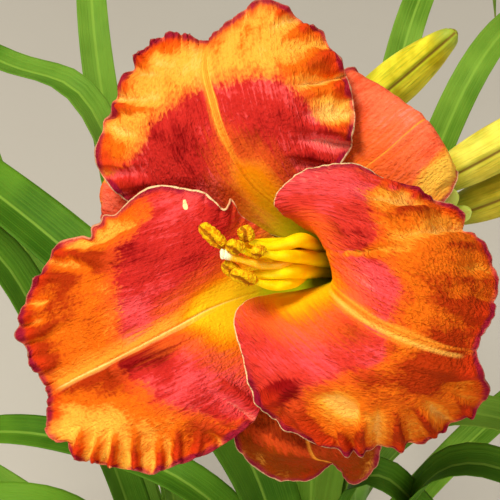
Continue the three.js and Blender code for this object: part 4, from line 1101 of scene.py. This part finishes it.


# The colour named furrow is painted shade in the deepest furrows of the outer part. The palest gold
# is partly the flower's own gold and partly painted highlight on the crests.
def petal_finish(name, clock, crimson="c02820", rose="ec4c4c", orange="e4660e", gold="fca636",
                 furrow="a83008", pale_gold_and_highlight="ffc044", bright="fcc80c", rib="fed678",
                 eyed=1.0, margin_red_and_shade=0.7):
    """The upper skin: throat, eye, outer part, midrib, dark band and wire edge, by the measures,
    with painted highlight on the crests and painted shade in the furrows, the midrib's furrows
    and the crepe's hollows.
    """
    material, tree = start_tissue(name, 0.6, gloss=0.02, clear=0.1, depth=0.0012,
                                  Subsurface_Radius=(1.0, 0.35, 0.15))

    def measure(kept):
        return measured(tree, kept)

    across, along, margin, crest = map(measure, ("across", "along", "margin", "crest"))
    strip = node(tree, "CombineXYZ", {0: across, 1: along, 2: float(clock)})

    def pattern(by_across, by_along, detail=3, **settings):
        return grain(tree, (by_across, by_along, 1), strip, detail=detail, **settings)

    fibres, hairs, clouds = pattern(1.3, 0.09, 1), pattern(2.6, 0.5), pattern(0.2, 0.13)
    crepe = pattern(1.0, 0.68, 1, distortion=0.35, roughness=0.6)
    creases = work(tree, "ABSOLUTE", work(tree, "SUBTRACT", pattern(0.75, 0.4, 1), 0.5))
    pillows = rise(tree, creases, 0.0, 0.08)

    def stray(distance, by_fibres, by_clouds, by_crepe=0.0):
        """A measured distance, thrown off along the fibres, in clouds and by the crepe."""
        for noise_here, amount in ((fibres, by_fibres), (clouds, by_clouds), (crepe, by_crepe)):
            if amount:
                off = times(tree, work(tree, "SUBTRACT", noise_here, 0.5), amount)
                distance = plus(tree, distance, off)
        return distance

    def crested(distance, amount):
        """A measured distance, made more on the crests and less in the furrows, so that the colours
        which follow it are painted highlight on the crests and painted shade in the furrows.
        """
        return plus(tree, distance, times(tree, crest, amount))

    # The outer part goes from orange to gold, and the eye from crimson to rose. Where the crest
    # measure adds in, both carry painted shade, dark red-brown in the furrows, and painted
    # highlight, pale gold and pale pink on the crests.
    gold_and_crest_light = stray(plus(tree, times(tree, measure("gold"), 1.1), crest), 0.7, 1.6, 1.1)
    outer = coats(tree, furrow,
                  (orange, gold_and_crest_light, -1.1, 0.1),
                  (gold, gold_and_crest_light, 0.2, 1.3),
                  (pale_gold_and_highlight, gold_and_crest_light, 1.3, 2.4),
                  ("e8501e", stray(measure("past_eye"), 8, 8, 8), 1, 9, 0.55, 0))
    pink_and_crest_light = stray(crested(measure("pink"), 0.8), 1.6, 1.6, 1.0)
    eye = coats(tree, "8a0e0e",
                (crimson, pink_and_crest_light, -1.1, 0.0),
                (rose, pink_and_crest_light, 0.15, 1.1),
                ("ff8c78", pink_and_crest_light, 1.2, 2.2),
                ("f0641e", stray(measure("past_glow"), 20, 4), 6, 24, 0.75, 0))
    into_eye = rise(tree, stray(measure("past_glow"), 12, 5, 3), 1, 9)
    out_of_eye = rise(tree, stray(measure("past_eye"), 5, 7, 7), -2.5, 2.5, 1, 0)
    colour = tint(tree, times(tree, times(tree, into_eye, out_of_eye), eyed), outer, eye)

    # Over them lie the midrib's pale band, the throat from orange through yellow to green, and the
    # raised midrib, with painted shade darkening the furrow either side of it.
    halo = rise(tree, stray(measure("halo"), 0.9, 0.7, 0.3), 0.3, 1.25, 0.85, 0)
    open_part = rise(tree, measure("reach"), 0.3, 0.42)
    colour = coats(tree, tint(tree, times(tree, halo, open_part), colour, "fc9c2c"),
                   ("fa8a06", stray(measure("past_glow"), 9, 3, 2), -4, 8, 1, 0),
                   (bright, stray(measure("past_glow"), 4, 2), -9, 1, 1, 0),
                   ("a4a80a", stray(measure("reach"), 0.02, 0.05), 0.18, 0.36, 1, 0),
                   (rib, measure("ribbed"), 0.1, 0.4, 0, 0.9),
                   ("d05a0c", measure("ribbed"), -0.12, -0.45, 0, 0.6))
    # Painted shade darkens the crepe's hollows.
    painted_crepe_shade = times(tree, measure("crinkle"),
                    plus(tree, rise(tree, crepe, 0.25, 0.55, 0.22, 0),
                         times(tree, work(tree, "SUBTRACT", 1.0, pillows), 0.06)))
    colour = tint(tree, painted_crepe_shade, colour, "e08c5c", mode="MULTIPLY")

    # Towards the margin a darker red is laid on, most in the furrows, where it is painted shade.
    # The edge has its dark band, which runs wider into the furrows as painted shade and turns
    # lighter red on the crests as painted highlight, and its cream thread.
    margin_and_furrow_share = rise(tree, stray(crested(margin, 2.6), 1.2, 3, 1), 0.0, 7.0, margin_red_and_shade, 0)
    red_margin_and_furrow_shade = times(tree, rise(tree, measure("reach"), 0.5, 0.7), margin_and_furrow_share)
    colour = tint(tree, red_margin_and_furrow_shade, colour, "d4340e")
    hem = rise(tree, stray(crested(margin, 0.7), 1.4, 2.4, 1.0), 0.4, 2.6, 0.85, 0)
    band = times(tree, rise(tree, measure("reach"), 0.46, 0.6), hem)
    colour = tint(tree, band, colour, coats(tree, "861030", ("e4604e", crest, -0.4, 1.3)))
    worn = plus(tree, margin, times(tree, hairs, 0.45))
    thread = times(tree, measure("wire"), rise(tree, worn, 0.34, 0.56, 0.9, 0))
    colour = coats(tree, tint(tree, thread, colour, "f8d69a"),
                   ("f7e59c", measure("fleck"), 0.45, 0.6))
    height = plus(tree, times(tree, crepe, 0.6),
                  plus(tree, times(tree, fibres, 0.18), times(tree, pillows, 0.05)))
    return paint(material, colour, times(tree, height, measure("crinkle")), 2.5 * mm)


def underside_finish(name, base, rib):
    """The back of a tepal: paler and duller, ribbed with raised veins."""
    material, tree = start_tissue(name, 0.6, gloss=0.15, clear=0.1, depth=0.0012)
    across, along = measured(tree, "across"), measured(tree, "along")
    veins = grain(tree, (0.8, 0.05, 1), node(tree, "CombineXYZ", {0: across, 1: along, 2: 0.0}))
    colour = coats(tree, base,
                   (rib, veins, 0.35, 0.7),
                   ("d9b53a", measured(tree, "reach"), 0.12, 0.5, 0.85, 0),
                   ("e3b04a", work(tree, "ABSOLUTE", across), 0.5, 1.8, 0.8, 0))
    return paint(material, colour, veins, 0.3 * mm)


petal_colours = dict(
    petal_left=dict(bright="fcbe14"),
    petal_top=dict(bright="ec920a", rose="f65a56", rib="ffc648", furrow="c4480c",
                   pale_gold_and_highlight="ffbe58"),
    petal_right=dict(bright="fcb80c", crimson="d03628", orange="e66a10", gold="fc9828",
                     pale_gold_and_highlight="ffae48", rib="ffc050"))
petal_back = underside_finish("petal_back", "d9643a", "ec8f52")
for petal_name, petal in petals.items():
    face = petal_finish(petal_name + "_skin", petal["clock"], **petal_colours[petal_name])
    piece = tepal(petal_name + "_blade", **petal, **petal_shape, finishes=(face, petal_back))
    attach(piece, "root")
    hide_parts(petal_name)

# ---- Sepals ----------------------------------------------------------------------------------
# The three outer tepals stand behind the petals and between them. They are narrower and plainer:
# coral and orange without an eye, faintly ribbed, with a gold edge and only a slight wave.
sepal_shape = dict(
    ring=5.6, flare=11.5, thickness=0.6, columns=72, steps=110, crinkle=0.4, frills=0.5, waves=9,
    glow=(0, 0, 0.2, 0, 0), wire=((0.3,) * 5, (0.6,) * 5),
    midrib=[(0, 0.4, 0.2), (0.9, 0.6, -0.2)], flecks=[], pinches=[], folds=[])
sepals = {
    "sepal_right": dict(
        clock=38, height=0.8, phase=0.7, sides=(1, 0.5, 1), eye=(2.6, 3.0, 2.6, 2.6, 2.0),
        pink=(0.4, 0.7, 0.8, 0.7, 0.4), gold=(0.2, 0.2, 0.3, 0.4, 0.5), halo=(0.3, 0.3),
        spots=dict(
            gold=[(50, 19, 7, 1.8), (57, 24, 5, 1.5)],
            past_eye=[(50, 18, 7.5, 23), (57, 24, 5, 18)],
            pink=[(39, 42, 7, 0.4), (46, 35, 7, 0.4), (32, 36, 6, -0.5)]),
        rows=[
            [(12, 26, -24), (20, 24, -21), (27, 17, -19), (31, 10, -20), (34, 2, -22)],
            [(22, 42, -22), (32, 37, -19), (40, 29, -17), (46, 19, -18), (49, 9, -22)],
            [(27, 52, -24), (40, 45, -20), (50, 37.5, -19), (56, 26, -19), (57, 15, -22)],
            [(31, 50.5, -31), (42, 43, -28), (51, 35, -27), (58, 27, -24), (60, 22, -25)],
            [(36, 43, -37), (43, 38, -37), (49, 32, -37), (54, 26, -33), (57, 24, -31)],
        ]),
    # The lower sepal lies in shade below the petals: its gold is set low on the middle ribs as
    # painted shade.
    "sepal_lower": dict(
        clock=278, height=1.0, phase=2.2, sides=(1, 0.6, 1), eye=(1, 1.5, 1.8, 1.5, 1),
        pink=(0.2, 0.3, 0.3, 0.3, 0.2), gold=(0.1, -0.4, -0.4, -0.4, 0.3), halo=(0.8, 0.8),
        spots=dict(
            gold=[(36, -64, 4, 1)]),
        rows=[
            [(34, -28, -27), (26, -31, -26), (17, -32, -26), (8, -31, -28), (0, -29, -32)],
            [(38, -44, -24), (27, -48, -20), (16, -49, -19), (5, -48, -21), (-3, -46, -27)],
            [(38, -54, -25), (29, -58, -20), (18, -59, -18), (6, -58, -20), (-4, -56, -25)],
            [(37, -61, -30), (31, -62, -27), (22, -61, -25), (10, -62, -25), (2, -63, -28)],
            [(34, -66, -34), (29, -67.5, -34), (24, -61.5, -36), (18, -66, -33), (9, -67, -32)],
        ]),
    "sepal_left": dict(
        clock=158, height=0.8, phase=1.1, sides=(1, 0.6, 1), eye=(3, 3, 3, 3, 3),
        pink=(0.5, 0.7, 0.9, 0.9, 0.7), gold=(0.3, 0.3, 0.3, 0.3, 0.3), halo=(0.8, 0.8),
        spots={},
        rows=[
            [(-8, -6, -31), (-9, 2, -31), (-8, 9, -31), (-5, 14, -32), (-1, 18, -33)],
            [(-24, -4, -31), (-24, 6, -29), (-22, 14, -29), (-19, 21, -30), (-14, 27, -31)],
            [(-38, 4, -32), (-37, 11, -30), (-35, 18, -29), (-32, 25, -30), (-28, 31, -32)],
            [(-43, 10, -33), (-43, 15, -31), (-42, 20, -31), (-39, 25, -32), (-35, 30, -33)],
            [(-40, 14, -39), (-41, 17, -39), (-41, 20, -39), (-38, 23, -39), (-35, 26, -38)],
        ]),
}
sepal_colours = dict(
    sepal_right=dict(crimson="e8502e", rose="f87048", orange="e87024", rib="ff9058"),
    # The lower sepal's dark colours are painted shade, for the shade it lies in below the petals.
    sepal_lower=dict(crimson="7c2006", rose="963808", orange="8a3604", gold="d8862c",
                     pale_gold_and_highlight="eca23c"),
    sepal_left=dict(crimson="dc482c", rose="f0684c", orange="e87024"))
sepal_back = underside_finish("sepal_back", "cf7a4a", "e0a064")
for sepal_name, sepal in sepals.items():
    face = petal_finish(sepal_name + "_skin", sepal["clock"], **sepal_colours[sepal_name],
                        eyed=0.9, margin_red_and_shade=0.1)
    piece = tepal(sepal_name + "_blade", **sepal, **sepal_shape, finishes=(face, sepal_back))
    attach(piece, "root")
    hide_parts(sepal_name)

# ---- Stamens ---------------------------------------------------------------------------------
# Six fleshy yellow filaments rise together from the tube and curve out of the throat. Each ends in
# a split, pollen-dusted anther with two swollen lobes and a brown furrow between them.
stamen_base, stamen_mouth = 2.6, 3.6  # radius of the ring they stand on, at the tube and throat
filament_sides, anther_sides = 20, 36
anther_radius = 1.2
split_side = 1.57  # the turn round an anther, in radians, at which it has split
stamens = [
    dict(clock=120, way=[(10, 1.4, -3.6), (1, 1.4, 2.5), (-5, 0.6, 5.4)],
         anther=[(-7.2, 0.8, 6.5), (-14.5, 7.4, 8)]),
    dict(clock=0, way=[(12, -1.8, 2.5), (7, -1.6, 7.5)],
         anther=[(3.8, -0.6, 10), (0.4, -0.4, 12.4)]),
    dict(clock=60, way=[(15, 2.8, -2.5), (10, 1.6, 2.2), (5, 0.9, 5.4)],
         anther=[(-0.2, 2.6, 7.5), (-2.2, 7, 9)]),
    dict(clock=180, way=[(10, -2, -3.6), (3, -1.8, 3.4)],
         anther=[(-2.2, 0, 9.6), (-6.8, 1.9, 12)]),
    dict(clock=240, way=[(12, -9.2, -1.8), (6, -10.2, 2.6)],
         anther=[(1.8, -9.2, 6.5), (-5.6, -6.4, 9.8)]),
    dict(clock=300, way=[(12, -6.2, 0.8), (4, -7, 2.6)],
         anther=[(-3.2, -7.4, 4.2), (-7.8, -3.6, 6.6)]),
]

filament_yellow, tree = start_tissue("filament_yellow", 0.4, gloss=0.1, clear=0.2, depth=0.002)
clouds = grain(tree, 260)
# Towards the tube the filaments turn a darker olive: painted shade deep in the throat.
yellow = coats(tree, "ffd000",
               ("ffe408", clouds, 0.3, 0.75),
               ("94800c", measured(tree, "reach"), 0.33, 0.76, 0.9, 0))
paint(filament_yellow, yellow, clouds, 0.1 * mm)

pollen, tree = start_finish("pollen", 0.8, Specular_IOR_Level=0.05)
grains = node(tree, "TexVoronoi", {"Vector": place_on(tree, 1), "Scale": 2600.0})
clumps = grain(tree, 900)
dust = coats(tree, "e48c04",
             ("ffd010", clumps, 0.36, 0.6),
             ("b06a0a", grains, 0.3, 0.8, 0, 0.35),
             ("964406", plus(tree, measured(tree, "furrow"), times(tree, clumps, 1.6)),
              1.4, 1.65, 0, 0.85))
paint(pollen, dust, work(tree, "SUBTRACT", clumps, grains), 0.2 * mm)


def off_split(t, turn):
    """How far round an anther a place is from the furrow in which it has split."""
    return ((turn - split_side + 0.3 * np.sin(7 * t) + np.pi) % (2 * np.pi)) - np.pi


def lobes(t, turn):
    """The radius of an anther in millimetres: two lobes and the deep furrow between them."""
    body = 0.75 + 0.95 * np.sqrt(np.sin(np.pi * np.clip(t * 0.96 + 0.02, 0, 1)))
    end = np.sqrt(np.clip(1 - (2 * t - 1) ** 10, 0, 1))
    furrow = 0.24 * np.exp(-((off_split(t, turn) / 0.4) ** 2))
    return anther_radius * body * end * (1 + 0.16 * np.cos(2 * turn) - furrow)


for number, stamen in enumerate(stamens, 1):
    root, tip = drawn(stamen["anther"])
    route = on_face([ring_point(bloom_base, stamen_base, stamen["clock"]),
                     ring_point(throat, stamen_mouth, stamen["clock"]),
                     *drawn(stamen["way"]), root])
    places = np.linspace(0, 1, 60)
    filament = limb("filament", route, lambda t, turn: (2.5 - 0.8 * smooth(0.6, 0.92, t)
                     - 0.8 * smooth(0.86, 1, t)) * mm,
                    filament_sides, places, reach=places[:, None], furrow=0.0)
    filament.data.materials.append(filament_yellow)
    places = np.concatenate([[0, 0.01, 0.03], np.linspace(0.06, 0.94, 34), [0.97, 0.99, 1]])
    turns = np.linspace(0, 2 * np.pi, anther_sides, endpoint=False)
    way = np.array([root, 0.5 * (root + tip) + (0, 0, 0.5), tip])
    spots = np.stack(np.broadcast_arrays(places[:, None] * 9, np.cos(turns), np.sin(turns)), -1)
    rough = 1 + 0.15 * mottle(spots, 0.6, number * 7) + 0.13 * mottle(spots, 0.22, number)
    anther = limb("anther", on_face(way), lambda t, turn: lobes(t, turn) * rough * mm,
                  anther_sides, places, reach=1.0,
                  furrow=np.exp(-((off_split(places[:, None], turns) / 0.7) ** 2)))
    anther.data.materials.append(pollen)
    piece = join(f"stamen_{number}_ripe", [filament, anther])
    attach(piece, "root")
    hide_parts(f"stamen_{number}")

# ---- Pistil ----------------------------------------------------------------------------------
# The thin style stands among the filaments, from the ovary in the tube out past the anthers. Its
# tip is a small three-lobed stigma, pale and moist.
style_radius, stigma_radius = 1.1 * mm, 1.3 * mm
style_sides = 16
style_points = on_face([bloom_base, throat,
                        *drawn([(11, -4, 1.5), (3, -4.4, 6.4), (-7.6, -1.2, 10)])])
places = np.linspace(0, 1, 70)
style = limb("style", style_points, lambda t, turn: style_radius * (1 + 0.25 * smooth(0.93, 1, t)),
             style_sides, places, reach=places[:, None])
stigma = bead(segments=28, rings=18, radius=stigma_radius, place=style_points[-1])
points = np.empty(len(stigma.data.vertices) * 3)
stigma.data.vertices.foreach_get("co", points)
points = points.reshape(-1, 3) - style_points[-1]
turn = np.arctan2(points[:, 2], points[:, 0])
points *= (1 + 0.22 * np.cos(3 * turn) + 0.12 * mottle(points, 0.5 * mm))[:, None]
stigma.data.vertices.foreach_set("co", (points + style_points[-1]).ravel())
keep(stigma, "reach", np.ones(len(points)))
pistil = join("pistil_moist", [style, stigma])
style_cream, tree = start_tissue("style_cream", 0.4, gloss=0.2, clear=0.2, depth=0.002)
papillae = grain(tree, 2200, detail=2)
cream = coats(tree, "ffb80c",
              ("fff3c4", measured(tree, "reach"), 0.965, 0.99),
              ("f4d880", papillae, 0.5, 0.7, 0, 0.3))
pistil.data.materials.clear()
pistil.data.materials.append(paint(style_cream, cream, papillae, 0.1 * mm))
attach(pistil, "root")
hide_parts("pistil")
